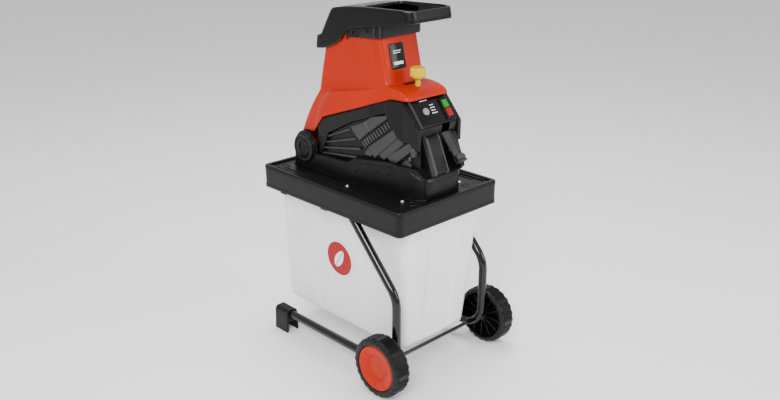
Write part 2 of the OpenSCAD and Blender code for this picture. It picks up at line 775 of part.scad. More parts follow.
module chute_outline(w) sideways(2 * (chute_hw - w)) polygon([
    [chute_front + w, chute_high], [chute_front + w, -w * 2],
    [chute_foot - w, -w * 2], [chute_foot - w, chute_bend[0]],
    [chute_back - w, chute_bend[1]], [chute_back - w, chute_high]]);
module discharge_chute() color([0.2, 0.2, 0.22]) deck() intersection() {
    difference() {
        chute_outline(0);
        chute_outline(chute_wall);
        at_rotor(chamber_floor - snug) cylinder(r = 2 * chamber_r, h = 2 * chamber_r);
    }
    translate([-chute_hw, 0, snug]) cube([2 * chute_hw, tray_l / 2, chute_high]);
}
module counter_blade() color([0.75, 0.75, 0.78]) deck() at_rotor(lid_low - counter_drop)
    translate([-counter[0] / 2, -chamber_r + counter_in, 0]) cube(counter);
module interlock_switch() color([0.15, 0.15, 0.2]) deck() 
    translate([-interlock_w / 2, knob_y - interlock_back, interlock_low])
        cube([interlock_w, interlock_l, front_top - boss_under - interlock_low - snug]);
module power_inlet() color([0.05, 0.05, 0.05]) deck() translate(inlet_at + [0, snug, 0]) difference() {
    cube(inlet);
    translate([inlet_rim, 3, inlet_rim])
        cube([inlet[0] - 2 * inlet_rim, inlet[1], inlet[2] - 2 * inlet_rim]);
}

module motor_shaft() color([0.75, 0.75, 0.77]) deck() at_rotor(can_top - motor_l - shaft_tail)
    cylinder(r = shaft_r, h = motor_l - can_top + shaft_tail - disc_t / 2 - snug);
module motor_armature() color([0.45, 0.3, 0.15]) deck() at_rotor(can_top - motor_l + winding_at)
    ring(armature_r, shaft_r + eps, winding_l);
module cooling_fan() color([0.15, 0.15, 0.15]) deck() at_rotor(can_top - fan_at) {
    ring(fan_hub_r, shaft_r + eps, fan_h);
    for (i = [1:fan_blades]) rotate([0, 0, 360 * i / fan_blades])
        translate([fan_hub_r - 1, -fan_blade[1] / 2, 0]) cube([fan_blade[0], fan_blade[1], fan_h]);
    ring(fan_disc_r, fan_hub_r - 2, fan_disc_t);
}
module blade_disc() color([0.7, 0.7, 0.72]) deck() at_rotor(-disc_t / 2) difference() {
    cylinder(r = disc_r, h = disc_t);
    for (a = [0, 180]) rotate([0, 0, a]) translate([blade_in, -blade_slot[1] / 2, -1])
        cube([blade_slot[0], blade_slot[1], disc_t + 2]);
    for (a = [0, 180], x = bolt_xs) rotate([0, 0, a]) translate([x, bolt_y, -1])
        cylinder(r = bolt_r + snug, h = disc_t + 2);
}
module cutting_blades() color([0.8, 0.8, 0.82]) deck() at_rotor(disc_t / 2 + snug)
    for (a = [0, 180]) rotate([0, 0, a]) difference() {
        translate([blade_in, -blade_back, 0]) cube(blade);
        for (x = bolt_xs) translate([x, bolt_y, -1]) cylinder(r = bolt_r + snug, h = blade[2] + 2);
    }
module blade_screws() color([0.3, 0.3, 0.32]) deck() at_rotor(-disc_t / 2 - nut_h) {
    bolt_l = disc_t + nut_h + blade[2] + 2 * snug;
    for (a = [0, 180], x = bolt_xs) rotate([0, 0, a]) translate([x, bolt_y, 0]) {
        cylinder(r = bolt_r, h = bolt_l);
        translate([0, 0, bolt_l]) cylinder(r = bolt_head[0], h = bolt_head[1]);
    }
    translate([0, 0, disc_t + nut_h + snug]) cylinder(r = hub_nut_r, h = hub_nut_h);
}

// ---- hopper ----

// The side-plane outline moved inwards by w, towards the middle of the hopper
function toward(pts, w) = [for (p = pts) [p[0] - sign(p[0] - middle[0]) * w, p[1] - sign(p[1] - middle[1]) * w]];
module hopper_body(w = 0) {
    hull() {
        sideways(2 * (neck_hw - crease_in - w)) polygon(toward(crease_pts, w));
        sideways(2 * (neck_hw + deck_over - w)) polygon(toward(deck_pts, w));
        sideways(2 * (skirt_hw - w)) polygon(toward(seam_pts, w));
        sideways(2 * (skirt_hw - tail_in - w)) polygon(toward(tail_pts, w));
    }
    sideways(2 * (neck_hw - w))
        polygon([for (p = toward(neck_pts, w)) [p[0], p[1] > neck_open_z ? p[1] + 2 * w : p[1]]]);
}
module under_seam() sideways(tray_w) polygon([[-tray_l, -tray_h], [-tray_l, front_top + seam_lift],
    [seam_front, front_top + seam_lift], [seam_pts[1][0], seam_pts[1][1] + seam_lift], seam_end,
    [seam_end[0], tail_low], [tray_l, tail_low], [tray_l, -tray_h]]);
module hopper_shell() color([0.88, 0.22, 0.02]) deck() difference() {
    union() {
        difference() {
            hopper_body();
            hopper_body(shell_wall);
            under_seam();
        }
        both() at_pivot() across(apron_r, ear_in + 2, skirt_hw + 2);
        both() translate([skirt_hw - flank[0] - 1, pivot[0] + flank_at[0], pivot[1] + flank_at[1]]) cube(flank);
        intersection() {
            at_pivot() difference() {
                across(apron_r + shell_wall, -ear_in + ear_t + 1, ear_in - ear_t - 1);
                across(apron_r, -ear_in, ear_in);
            }
            sideways(2 * skirt_hw) polygon([pivot, pivot + apron_low, pivot + apron_high]);
        }
    }
    at_pivot() across(hinge_r + run, -tray_w / 2, tray_w / 2);
    translate([0, knob_y, interlock_low])
        cylinder(r = knob_stem_d / 2 + gap, h = knob_z + knob_h - interlock_low);
}
module feed_chute() color([0.12, 0.12, 0.12]) deck() at_rotor(lid_low) translate([0, feed_y, 0]) difference() {
    translate([-feed_w / 2, -feed_d / 2, 0]) cube([feed_w, feed_d, feed_top - lid_low]);
    translate([-feed_w / 2 + feed_wall, -feed_d / 2 + feed_wall, -1])
        cube([feed_w - 2 * feed_wall, feed_d - 2 * feed_wall, feed_top]);
}
module chamber_lid() color([0.55, 0.55, 0.57]) deck() at_rotor(lid_low) difference() {
    cylinder(r = chamber_r + chamber_wall, h = lid_t);
    translate([-feed_w / 2 - snug, feed_y - feed_d / 2 - snug, -1])
        cube([feed_w + 2 * snug, feed_d + 2 * snug, lid_t + 2]);
}
module hood() color([0.12, 0.12, 0.12]) deck() difference() {
    sideways(2 * hood_hw) polygon(hood_out);
    sideways(2 * (hood_hw - hood_wall)) polygon(hood_in);
    sideways(2 * (hood_hw - hood_wall - dish_rim)) polygon(dish);
}
// Collar between the neck and the hood; its edges rise towards the front like the hood's own edge
module hood_band() color([0.05, 0.05, 0.05]) deck() difference() {
    sideways(2 * (neck_hw + band_t)) polygon([
        hood_low_rear - [0, band_h + snug], hood_low_rear - [0, snug],
        hood_low_front - [0, snug], hood_low_front - [0, band_h + snug]]);
    translate([-neck_hw - snug, hood_low_front[0] + band_t + 2, hood_low_rear[1] - 2 * band_h])
        cube([2 * (neck_hw + snug), tray_l / 2, 4 * band_h]);
}
module hood_screws() color([0.6, 0.6, 0.62]) deck() both() for (y = hood_screw_ys)
    translate([0, y, hood_low_rear[1] + (hood_low_rear[0] - y) * (hood_low_front[1] - hood_low_rear[1])
        / (hood_low_rear[0] - hood_low_front[0]) - band_h / 2])
        across(hood_screw_r, neck_hw + band_t + snug, neck_hw + band_t + 2);
module rating_plate() color([0.03, 0.03, 0.03]) deck()
    translate([plate_x, neck_pts[1][0], neck_pts[1][1]]) rotate([-neck_lean, 0, 0])
        translate([0, -plate_t - 2 * snug, plate_up]) cube([plate_w, plate_t, plate_h]);
module lock_knob() color([0.98, 0.85, 0]) deck() translate([0, knob_y, 0]) {
    translate([0, 0, knob_end]) cylinder(r = knob_stem_d / 2, h = knob_z + 1 - knob_end);
    difference() {
        translate([0, 0, knob_z]) cylinder(r = knob_d / 2, h = knob_h);
        for (a = [grip_step:grip_step:360]) rotate([0, 0, a]) translate([knob_d / 2 + grip_out, 0, knob_z - 1])
            cylinder(r = grip_r, h = knob_h + 2);
    }
}

// ---- bin ----

// Walls lean by the same rule all the way up: share is 1 at the floor and 0 at the top
function share(z) = (bin_top - z) / (bin_top - bin_floor);
module bin_block(w) {
    low = bin_floor + w;
    high = bin_top + (w > 0 ? 1 : 0);
    middle_y = (bin_front + bin_rear) / 2;
    intersection() {
        translate([0, middle_y, 0]) rotate([90, 0, 0]) linear_extrude(2 * tray_l, center = true)
            polygon(both_sides([for (z = [low, high]) [bin_hw - bin_taper * share(z) - w, z]]));
        sideways(2 * tray_w) polygon([
            for (z = [low, high]) [bin_front + bin_front_in * share(z) + w, z],
            for (z = [high, low]) [bin_rear + bin_rear_out * share(z) - w, z]]);
        translate([0, middle_y, low]) linear_extrude(high - low)
            rounded(2 * (bin_hw - w) + 1, bin_rear - bin_front + 2 * bin_rear_out - 2 * w, bin_r - w);
    }
}
module bin() color([0.88, 0.89, 0.89]) place() difference() {
    union() {
        bin_block(0);
        translate([0, (bin_front + bin_rear) / 2, rim_z]) linear_extrude(bin_rim_t)
            rounded(2 * rim_hw, bin_rear - bin_front + 2 * bin_rim_end, bin_r + 4);
    }
    bin_block(bin_wall);
}
module bin_badge() color([0.8, 0.05, 0.05]) place() {
    slope = atan2(bin_taper, bin_top - bin_floor);
    x = bin_hw - bin_taper * share(badge_z);
    translate([-x, badge_y, badge_z]) rotate([0, -90 - slope, 0]) translate([0, 0, gap])
        cylinder(r = badge_d / 2, h = badge_t);
}

// ---- wheels ----

module wheel(side) color([0.07, 0.07, 0.07]) place() at_side(side) translate([wheel_x, axle_y, axle_z])
    rotate([0, 90, 0]) difference() {
        union() {
            rotate_extrude($fn = 96) polygon([[axle_r + 1, 0], [hub_r, 0], [hub_r, web_out - web_t],
                [rim_in_r, web_out - web_t], [rim_in_r, 2], [rim_in_r + 4, 0],
                [wheel_r - tread_in, 0], [wheel_r, tread_side], [wheel_r, wheel_w - tread_side],
                [wheel_r - tread_in, wheel_w], [cap_r + 1.5, wheel_w], [cap_r + gap, wheel_w - 2],
                [cap_r + gap, web_out], [axle_r + 1, web_out]]);
            for (i = [0:wheel_ribs - 1]) rotate([0, 0, 360 * i / wheel_ribs])
                translate([hub_r - 1, -rib_t / 2, web_t])
                    cube([rim_in_r + 2 - hub_r, rib_t, web_out - web_t - 1]);
        }
        translate([0, 0, -1]) cylinder(r = axle_r + run, h = wheel_w);
    }
module wheel_left() wheel(-1);
module wheel_right() wheel(1);
module hubcap(side) color([0.85, 0.2, 0.03]) place() at_side(side) translate([wheel_x, axle_y, axle_z])
    rotate([0, 90, 0]) rotate_extrude($fn = 96) polygon([for (p = cap_pts) [p[0], wheel_w + p[1]],
        [cap_r - 4, wheel_w], [cap_r, wheel_w - 2], [cap_r, web_out + snug],
        [cap_r - cap_wall, web_out + snug], [cap_r - cap_wall, wheel_w - 5],
        for (p = cap_back_pts) [p[0], wheel_w + p[1]]]);
module hubcap_left() hubcap(-1);
module hubcap_right() hubcap(1);

frame_left();
frame_right();
foot_left();
foot_right();
axle();
axle_spacers();
axle_clips();
tray();
frame_clamps();
clamp_screws();
bin_rails();
base_shell_left();
base_shell_right();
side_grille_left();
side_grille_right();
tray_screws();
hinge_caps();
hinge_bolts();
control_panel();
switch_frame();
motor_can();
motor_stator();
motor_end_shield();
motor_rear_shield();
run_capacitor();
shaft_bearings();
cutting_chamber();
discharge_chute();
counter_blade();
interlock_switch();
power_inlet();
hopper_shell();
feed_chute();
chamber_lid();
hood();
hood_band();
rating_plate();
hood_screws();
lock_knob();
motor_shaft();
motor_armature();
cooling_fan();
blade_disc();
cutting_blades();
blade_screws();
bin();
bin_badge();
wheel_left();
wheel_right();
hubcap_left();
hubcap_right();
bin_lock_slider();
start_button();
stop_button();
reset_button();
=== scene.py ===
"""Garden chipper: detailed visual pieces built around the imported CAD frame."""

import json
import math

import bmesh
import bpy
from mathutils import Matrix, Vector


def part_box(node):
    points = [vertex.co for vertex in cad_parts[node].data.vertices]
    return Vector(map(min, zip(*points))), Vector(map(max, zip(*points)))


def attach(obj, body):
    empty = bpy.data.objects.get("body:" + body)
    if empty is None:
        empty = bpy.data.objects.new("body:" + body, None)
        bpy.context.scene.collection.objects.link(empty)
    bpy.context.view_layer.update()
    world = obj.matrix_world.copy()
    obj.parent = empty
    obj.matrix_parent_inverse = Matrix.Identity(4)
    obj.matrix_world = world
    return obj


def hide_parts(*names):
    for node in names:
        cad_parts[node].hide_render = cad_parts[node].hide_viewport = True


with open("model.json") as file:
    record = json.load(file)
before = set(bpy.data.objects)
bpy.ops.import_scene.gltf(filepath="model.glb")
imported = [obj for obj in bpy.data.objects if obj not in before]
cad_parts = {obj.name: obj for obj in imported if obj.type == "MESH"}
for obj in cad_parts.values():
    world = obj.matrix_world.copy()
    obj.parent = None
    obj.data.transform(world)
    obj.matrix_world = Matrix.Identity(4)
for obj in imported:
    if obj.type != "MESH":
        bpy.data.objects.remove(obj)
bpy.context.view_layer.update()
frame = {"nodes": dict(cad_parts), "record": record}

# Lengths below are in millimetres. DECK is the middle of the tray's deck, FLOOR the floor point under it.
MM = 0.001
RIM_H = 5
TRAY_LOW, TRAY_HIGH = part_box("tray")
DECK = Vector(((TRAY_LOW.x + TRAY_HIGH.x) / 2, (TRAY_LOW.y + TRAY_HIGH.y) / 2, TRAY_HIGH.z - RIM_H * MM))
FLOOR = Vector((DECK.x, DECK.y, 0))
DECK_Z = DECK.z / MM


# ---------------------------------------------------------------- shapes: (points, faces)

def smoothstep(a, b, v):
    t = min(1.0, max(0.0, (v - a) / (b - a)))
    return t * t * (3 - 2 * t)


def along(table, v):
    """Straight-line interpolation in a list of (input, output) pairs, in rising order of input."""
    if v <= table[0][0]:
        return table[0][1]
    for (a, p), (b, q) in zip(table, table[1:]):
        if v <= b:
            return p + (q - p) * (v - a) / (b - a)
    return table[-1][1]


def merge(*shapes):
    points, faces = [], []
    for more_points, more_faces in shapes:
        base = len(points)
        points += more_points
        faces += [tuple(i + base for i in face) for face in more_faces]
    return points, faces


def moved(shape, turn=None, shift=(0, 0, 0)):
    turn = turn or Matrix.Identity(3)
    return [turn @ Vector(p) + Vector(shift) for p in shape[0]], shape[1]


def mirrored(shape):
    return [(-p[0], p[1], p[2]) for p in shape[0]], [tuple(reversed(f)) for f in shape[1]]


def half_outline(hw, front, rear, r, side=24, end=8, arc=6):
    """Right half of a rounded rectangle in plan, from the middle of the front to the middle of the rear."""
    points = [((hw - r) * i / end, front) for i in range(end)]
    points += [(hw - r + r * math.sin(a), front + r - r * math.cos(a))
               for a in (math.pi / 2 * i / arc for i in range(arc))]
    points += [(hw, front + r + (rear - front - 2 * r) * i / side) for i in range(side)]
    points += [(hw - r + r * math.cos(a), rear - r + r * math.sin(a))
               for a in (math.pi / 2 * i / arc for i in range(arc))]
    points += [((hw - r) * (1 - i / end), rear) for i in range(end + 1)]
    return points


def smooth_half(points, count, rounds=3):
    """Right half of a free outline: its corners rounded, then cut to equal steps."""
    for _ in range(rounds):
        cut = [points[0]]
        for (x0, y0), (x1, y1) in zip(points, points[1:]):
            cut += [(x0 * 0.75 + x1 * 0.25, y0 * 0.75 + y1 * 0.25),
                    (x0 * 0.25 + x1 * 0.75, y0 * 0.25 + y1 * 0.75)]
        points = cut + [points[-1]]
    lengths = [0.0]
    for a, b in zip(points, points[1:]):
        lengths.append(lengths[-1] + math.dist(a, b))
    xs = list(zip(lengths, (p[0] for p in points)))
    ys = list(zip(lengths, (p[1] for p in points)))
    steps = [lengths[-1] * i / count for i in range(count + 1)]
    return [(along(xs, s), along(ys, s)) for s in steps]


def whole(half):
    """The closed symmetric outline of a right half."""
    return half + [(-x, y) for x, y in reversed(half[1:-1])]


def inset(outline, w):
    """The outline moved inwards by w."""
    moved_in = []
    count = len(outline)
    for i in range(count):
        ax, ay = outline[i - 1]
        bx, by = outline[(i + 1) % count]
        length = math.dist((ax, ay), (bx, by)) or 1
        moved_in.append((outline[i][0] - (by - ay) / length * w, outline[i][1] + (bx - ax) / length * w))
    return moved_in


def ring_at(outline, height):
    """Gives an outline its height, a number or a function of x and y."""
    return [(x, y, height(x, y) if callable(height) else height) for x, y in outline]


def loft(rings, start=False, end=False, closed=False):
    """Joins rings of equal length. Symmetric end rings are capped by strips across the mirror plane."""
    count = len(rings[0])
    points = [p for ring in rings for p in ring]
    faces = []
    for k in range(len(rings) if closed else len(rings) - 1):
        low, high = k * count, (k + 1) % len(rings) * count
        faces += [(low + j, low + (j + 1) % count, high + (j + 1) % count, high + j) for j in range(count)]
    for base, wanted in ((0, start), ((len(rings) - 1) * count, end)):
        if wanted:
            half = count // 2
            faces.append((base, base + 1, base + count - 1))
            faces += [(base + j, base + j + 1, base + count - j - 1, base + count - j) for j in range(1,
                                                                                                      half - 1)]
            faces.append((base + half - 1, base + half, base + half + 1))
    return points, faces


def lathe(profile, steps=96, closed=True, radius=None, depth=None):
    """Turns (x, r) points round the X axis. radius and depth may change r and x with the angle."""
    rings = []
    for i in range(steps):
        a = 2 * math.pi * i / steps
        ring = []
        for k, (x, r) in enumerate(profile):
            r2 = radius(k, x, r, a) if radius else r
            x2 = depth(k, x, r, a) if depth else x
            ring.append((x2, r2 * math.cos(a), r2 * math.sin(a)))
        rings.append(ring)
    count = len(profile)
    points = [p for ring in rings for p in ring]
    faces = []
    for k in range(steps):
        low, high = k * count, (k + 1) % steps * count
        faces += [(low + j, low + (j + 1) % count, high + (j + 1) % count, high + j)
                  for j in range(count if closed else count - 1)]
    return points, faces


def upright(shape, centre=(0, 0, 0)):
    """Turns a lathed shape's axis from X to Z."""
    return [(centre[0] + y, centre[1] + z, centre[2] + x) for x, y, z in shape[0]], shape[1]


def prism(outline, x0, x1):
    """An outline in the YZ plane, given width from x0 to x1."""
    count = len(outline)
    points = [(x0, y, z) for y, z in outline] + [(x1, y, z) for y, z in outline]
    faces = [tuple(range(count)), tuple(range(2 * count - 1, count - 1, -1))]
    faces += [(i, (i + 1) % count, (i + 1) % count + count, i + count) for i in range(count)]
    return points, faces


def block(low, high):
    return prism([(low[1], low[2]), (high[1], low[2]), (high[1], high[2]), (low[1], high[2])], low[0],
                 high[0])


def disc_profile(r, low, high, edge):
    return [(low, 0), (low, r - edge), (low + edge, r), (high - edge, r), (high, r - edge), (high, 0)]


# ---------------------------------------------------------------- materials

def plastic(name, colour, rough, grain=900, bump=0.2, vary=0.12, coat=0.0, metallic=0.0, scatter=0.0,
            stretch=1,
            shine=0.5):
    """Moulded or painted surface: cloudy colour, uneven gloss and a fine grain."""
    material = bpy.data.materials.new(name)
    material.use_nodes = True
    nodes, links = material.node_tree.nodes, material.node_tree.links
    shader = nodes["Principled BSDF"]
    shader.inputs["Metallic"].default_value = metallic
    shader.inputs["Specular IOR Level"].default_value = shine
    shader.inputs["Coat Weight"].default_value = coat
    shader.inputs["Coat Roughness"].default_value = 0.08
    shader.inputs["Subsurface Weight"].default_value = scatter
    shader.inputs["Subsurface Radius"].default_value = (0.02, 0.02, 0.02)
    where = nodes.new("ShaderNodeTexCoord")
    placed = nodes.new("ShaderNodeMapping")
    placed.inputs["Scale"].default_value = (1, 1, stretch)
    links.new(where.outputs["Object"], placed.inputs["Vector"])

    def noise(scale, detail):
        node = nodes.new("ShaderNodeTexNoise")
        node.inputs["Scale"].default_value = scale
        node.inputs["Detail"].default_value = detail
        links.new(placed.outputs["Vector"], node.inputs["Vector"])
        return node.outputs["Fac"]

    ramp = nodes.new("ShaderNodeValToRGB")
    ramp.color_ramp.elements[0].position = 0.3
    ramp.color_ramp.elements[1].position = 0.7
    ramp.color_ramp.elements[0].color = (*(c * (1 - vary) for c in colour), 1)
    ramp.color_ramp.elements[1].color = (*(min(1, c * (1 + vary)) for c in colour), 1)
    links.new(noise(11, 5), ramp.inputs["Fac"])
    links.new(ramp.outputs["Color"], shader.inputs["Base Color"])
    gloss = nodes.new("ShaderNodeMapRange")
    gloss.inputs["From Min"].default_value = 0.3
    gloss.inputs["From Max"].default_value = 0.7
    gloss.inputs["To Min"].default_value = max(0.04, rough - 0.07)
    gloss.inputs["To Max"].default_value = min(1, rough + 0.07)
    links.new(noise(38, 4), gloss.inputs["Value"])
    links.new(gloss.outputs["Result"], shader.inputs["Roughness"])
    relief = nodes.new("ShaderNodeBump")
    relief.inputs["Strength"].default_value = bump
    relief.inputs["Distance"].default_value = 0.0003
    links.new(noise(grain, 3), relief.inputs["Height"])
    links.new(relief.outputs["Normal"], shader.inputs["Normal"])
    return material


BLACK = plastic("black_moulding", (0.004, 0.004, 0.0045), 0.36, bump=0.3, shine=0.2)
SATIN = plastic("black_satin", (0.0035, 0.0035, 0.004), 0.28, grain=1400, bump=0.12, shine=0.2)
GREY = plastic("dark_grey_moulding", (0.03, 0.03, 0.0305), 0.38, grain=1100, bump=0.3, shine=0.35)
GLOSS = plastic("gloss_black_panel", (0.003, 0.003, 0.0035), 0.24, grain=700, bump=0.05, coat=0.1, shine=0.2)
TUBE = plastic("black_enamel", (0.002, 0.002, 0.002), 0.16, grain=260, bump=0.06, coat=0.5, shine=0.2)
ORANGE = plastic("orange_moulding", (0.42, 0.0145, 0.0), 0.36, grain=800, bump=0.1, vary=0.05, shine=0.16)
YELLOW = plastic("yellow_moulding", (0.7, 0.45, 0.0), 0.32, grain=800, bump=0.12, vary=0.05, shine=0.2)
MILK = plastic("milky_moulding", (0.86, 0.88, 0.87), 0.42, grain=300, bump=0.1, vary=0.03, scatter=0.1)
RED_FILM = plastic("red_film", (0.36, 0.0015, 0.002), 0.3, grain=500, bump=0.05, vary=0.05, shine=0.2)
WHITE = plastic("white_print", (0.88, 0.88, 0.88), 0.4, grain=500, bump=0.05, vary=0.04)
TYRE = plastic("wheel_moulding", (0.0035, 0.0035, 0.004), 0.42, grain=700, bump=0.35, shine=0.25)
GREEN = plastic("green_button", (0.008, 0.22, 0.012), 0.25, bump=0.06, vary=0.05, coat=0.2, shine=0.2)
RED = plastic("red_button", (0.32, 0.003, 0.003), 0.25, bump=0.06, vary=0.05, coat=0.2, shine=0.2)
PALE = plastic("pale_button", (0.24, 0.24, 0.26), 0.35, bump=0.1, vary=0.06)
STEEL = plastic("zinc_steel", (0.5, 0.5, 0.5), 0.32, grain=400, bump=0.15, metallic=1.0)
BLADE = plastic("ground_steel", (0.55, 0.55, 0.56), 0.24, grain=160, bump=0.2, metallic=1.0, stretch=8)
ALLOY = plastic("cast_alloy", (0.36, 0.36, 0.37), 0.48, grain=500, bump=0.5, metallic=0.9)
PAINT = plastic("grey_paint", (0.05, 0.055, 0.062), 0.35, grain=350, bump=0.2)
COPPER = plastic("varnished_copper", (0.4, 0.14, 0.05), 0.35, grain=240, bump=0.6, metallic=0.8, stretch=5)

SLOT_MATERIAL = {
    "black_tube": TUBE, "black_plastic": BLACK, "grey_plastic": GREY, "panel_black": GLOSS,
    "orange_plastic": ORANGE,
    "yellow_plastic": YELLOW, "bin_plastic": MILK, "badge_red": RED_FILM, "wheel_black": TYRE,
    "green_plastic": GREEN, "red_plastic": RED, "light_grey_plastic": PALE, "steel": STEEL,
    "blade_steel": BLADE,
    "cast_alloy": ALLOY, "motor_paint": PAINT, "copper_winding": COPPER,
}


CAD_FINISH = {"hood_screws": TUBE, "clamp_screws": TUBE, "axle": TUBE}


def dress_cad_nodes():
    for part in frame["record"]["subparts"]:
        node = frame["nodes"][part["node"]]
        node.data.materials.clear()
        node.data.materials.append(CAD_FINISH.get(part["node"]) or SLOT_MATERIAL[part["material_slot"]])


# ---------------------------------------------------------------- pieces

def piece(name, shape, body, slot, replaces=(), origin=DECK, material=None, bevel=0, smooth=32, wall=0):
    """Makes one visible piece from a shape in millimetres about origin, and ties it to its CAD body."""
    mesh = bpy.data.meshes.new(name)
    mesh.from_pydata([origin + Vector(p) * MM for p in shape[0]], [], shape[1])
    bm = bmesh.new()
    bm.from_mesh(mesh)
    bmesh.ops.remove_doubles(bm, verts=bm.verts, dist=0.00001)
    bmesh.ops.recalc_face_normals(bm, faces=bm.faces)
    bm.to_mesh(mesh)
    bm.free()
    mesh.materials.append(material or SLOT_MATERIAL[slot])
    mesh.shade_smooth()
    mesh.set_sharp_from_angle(angle=math.radians(smooth))
    made = bpy.data.objects.new(name, mesh)
    bpy.context.scene.collection.objects.link(made)
    if wall:
        solid = made.modifiers.new("wall", "SOLIDIFY")
        solid.thickness = wall * MM
        solid.offset = -1
    if bevel:
        rounding = made.modifiers.new("edges", "BEVEL")
        rounding.width = bevel * MM
        rounding.segments = 3
        rounding.angle_limit = math.radians(28)
        rounding.harden_normals = True
    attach(made, body)
    if replaces:
        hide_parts(*replaces)
    return made


def carve(target, cutters):
    """Cuts closed shapes out of a piece and keeps the result as its mesh."""
    for index, shape in enumerate(cutters):
        mesh = bpy.data.meshes.new("cutter")
        mesh.from_pydata([DECK + Vector(p) * MM for p in shape[0]], [], shape[1])
        bm = bmesh.new()
        bm.from_mesh(mesh)
        bmesh.ops.recalc_face_normals(bm, faces=bm.faces)
        bm.to_mesh(mesh)
        bm.free()
        mesh.materials.append(target.data.materials[0])
        tool = bpy.data.objects.new("cutter_%d" % index, mesh)
        bpy.context.scene.collection.objects.link(tool)
        cut = target.modifiers.new("cut", "BOOLEAN")
        cut.operation = "DIFFERENCE"
        cut.solver = "EXACT"
        cut.object = tool
        bpy.context.view_layer.update()
        graph = bpy.context.evaluated_depsgraph_get()
        result = bpy.data.meshes.new_from_object(target.evaluated_get(graph))
        target.modifiers.remove(cut)
        bpy.data.objects.remove(tool)
        target.data = result
    bm = bmesh.new()
    bm.from_mesh(target.data)
    bmesh.ops.remove_doubles(bm, verts=bm.verts, dist=0.00002)
    bmesh.ops.dissolve_degenerate(bm, edges=bm.edges, dist=0.00001)
    bm.to_mesh(target.data)
    bm.free()
    target.data.shade_smooth()
    target.data.set_sharp_from_angle(angle=math.radians(32))


# ---- tray ----

TRAY_HW = (TRAY_HIGH.x - TRAY_LOW.x) / 2 / MM
TRAY_HL = (TRAY_HIGH.y - TRAY_LOW.y) / 2 / MM
TRAY_LOW_Z = TRAY_LOW.z / MM - DECK_Z
TRAY_R = 13
TRAY_WALL = 3.7
RIM_W = 12


def tray_outline(w):
    return whole(half_outline(TRAY_HW - w, -TRAY_HL + w, TRAY_HL - w, max(3, TRAY_R - w), side=40, end=16,
                              arc=6))


def make_tray():
    low, top = TRAY_LOW_Z, RIM_H
    steps = [(TRAY_WALL, -4), (TRAY_WALL, low + 1), (TRAY_WALL - 1, low), (1, low), (0, low + 1),
             (0, low + 8),
             (0.9, low + 9), (0.9, top - 12), (0, top - 11), (0, top - 3), (0.8, top - 1), (2.6, top),
             (RIM_W - 1.5, top), (RIM_W - 0.4, top - 0.6), (RIM_W, top - 2), (RIM_W + 0.6, 0.2),
             (RIM_W + 1.6, 0)]
    piece("tray_shell", loft([ring_at(tray_outline(w), z) for w, z in steps], start=True, end=True),
          "chassis", "black_plastic", replaces=["tray"], smooth=40)
    rails = []
    for x, length, width, height in ((TRAY_HW - RIM_W - 9, 452, 5, 3.4), (TRAY_HW - RIM_W - 22, 404, 3, 2)):
        half = half_outline(width / 2, -length / 2, length / 2, width / 2 - 0.1, side=6, end=2, arc=5)
        strip = loft([ring_at(whole(half), 0.02), ring_at(whole(half), height - 0.8),
                      ring_at(inset(whole(half), 0.7), height)], end=True, start=True)
        rails += [moved(strip, shift=(x, 0, 0)), moved(strip, shift=(-x, 0, 0))]
    piece("tray_rails", merge(*rails), "chassis", "black_plastic", smooth=30)
    bosses = []
    for x, y in ((95, -217), (-95, -217), (128, 214), (-128, 214)):
        profile = [(0, 8), (1.2, 8.6), (1.2, 11.4), (0, 12)]
        bosses.append(upright(lathe(profile, 40), (x, y, 0.05)))
    piece("tray_bosses", merge(*bosses), "chassis", "black_plastic", smooth=30)


def make_tray_screws():
    heads = []
    for x, y in ((121, -20), (100, -191)):
        head = lathe([(0, 0), (0, 5.5), (1.4, 5.4), (2.6, 4), (3.1, 2.2), (2.4, 1.8), (2.2, 0)], 32,
                     closed=False)
        heads += [upright(head, (x, y, 0.1)), upright(head, (-x, y, 0.1))]
    piece("tray_screw_heads", merge(*heads), "chassis", "steel", replaces=["tray_screws"])


# ---- collecting bin ----

BIN_LOW, BIN_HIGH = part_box("bin")
BIN_RIM_OVER = 12
BIN_TAPER = 15.5
BIN_TOP = BIN_HIGH.z / MM
BIN_FLOOR = BIN_LOW.z / MM
BIN_HW = (BIN_HIGH.x - BIN_LOW.x) / 2 / MM - BIN_RIM_OVER
BIN_FRONT = (BIN_LOW.y - FLOOR.y) / MM + 5
BIN_REAR = (BIN_HIGH.y - FLOOR.y) / MM - 5
BIN_WALL = 2.5
PANEL_HW = 52
FLUTE_TOP = 235


